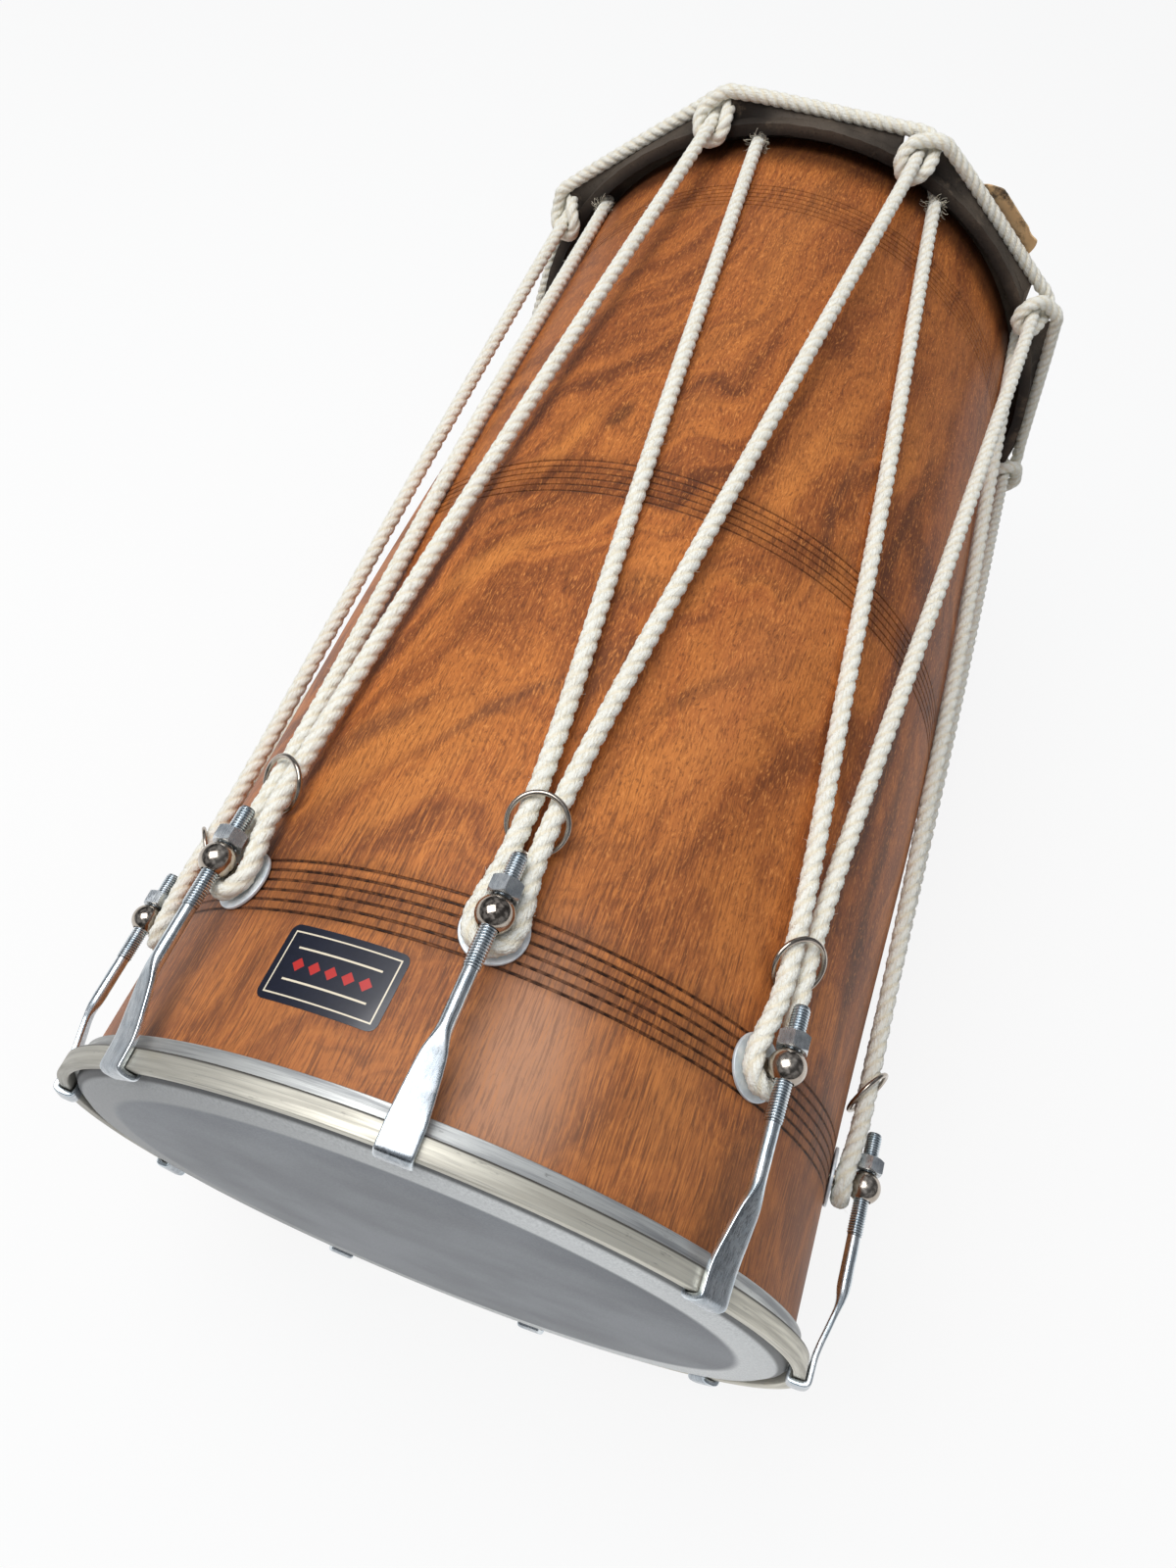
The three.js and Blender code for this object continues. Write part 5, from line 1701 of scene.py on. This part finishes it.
def make_label():
    uniform = {"Roughness": 0.32, "Coat Weight": 0.4, "Coat Roughness": 0.1}
    material, tree, coords = new_finish("plain_label", uniform)
    parts = parts_of(tree, add(tree, "ShaderNodeUVMap", uv_map="label_map"))
    wide, high = (sum_of(tree, "ABSOLUTE", parts[axis]) for axis in ("X", "Y"))
    over_x = sum_of(tree, "SUBTRACT", wide, LABEL_WIDTH / 2 - LINE_INSET)
    over_y = sum_of(tree, "SUBTRACT", high, LABEL_HEIGHT / 2 - LINE_INSET)
    to_line = sum_of(tree, "ABSOLUTE", sum_of(tree, "MAXIMUM", over_x, over_y))
    line = stepped(tree, to_line, 0.25, 0.4, 1, 0)
    in_row = sum_of(tree, "LESS_THAN", wide, ROW_HALF)
    to_bar = sum_of(tree, "ABSOLUTE", sum_of(tree, "SUBTRACT", high, BAR_DISTANCE))
    bars = product(tree, stepped(tree, to_bar, 0.35, 0.5, 1, 0), in_row)
    cell = sum_of(tree, "PINGPONG", parts["X"], DIAMOND_PITCH / 2)
    diamond = sum_of(tree, "ADD", cell, high)
    red = product(tree, stepped(tree, diamond, 2.9, 3.1, 1, 0), in_row)
    ink = mixed(tree, speckle(tree, coords, 400), tint(16, 20, 34), tint(26, 30, 48))
    colour = mixed(tree, sum_of(tree, "MAXIMUM", line, bars), ink, tint(226, 214, 190))
    colour = mixed(tree, red, colour, tint(186, 44, 40))
    return completed(material, colour, speckle(tree, coords, 130, 2), 0.1, 0.0003)


set_piece("maker_label", label_mesh(), make_label(), sharp_degrees=40)
print("label, mm:", LABEL_WIDTH, "x", LABEL_HEIGHT)

# %% [markdown]
# The iron hoop inside the hide's lap is the one piece of the frame that stays as it is, because
# nothing of it shows. It still gets the finish of black bar iron.

# %% The iron hoop
def make_iron():
    material, tree, coords = new_finish("black_iron", {"Metallic": 0.8, "Roughness": 0.6})
    scale = speckle(tree, coords, 160, 4, 0.7)
    colour = two_tone(tree, scale, 0.4, 0.65, (62, 58, 56), (112, 78, 58))
    return completed(material, colour, scale, 0.4, 0.0004)


iron_hoop = frame["nodes"]["bass_hoop"]
iron_hoop.data.materials.clear()
iron_hoop.data.materials.append(make_iron())
print("points of the iron hoop:", len(iron_hoop.data.vertices))

# %% [markdown]
# The dressed drum has to stay the size of the frame. Both boxes are printed, where they can be
# compared.

# %% Print the boxes and finish
dressed_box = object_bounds()
for label, corners in (("frame", cad_box), ("dressed", dressed_box)):
    print(label, "size, mm:", [round((high - low) / MM, 1) for low, high in zip(*corners)])
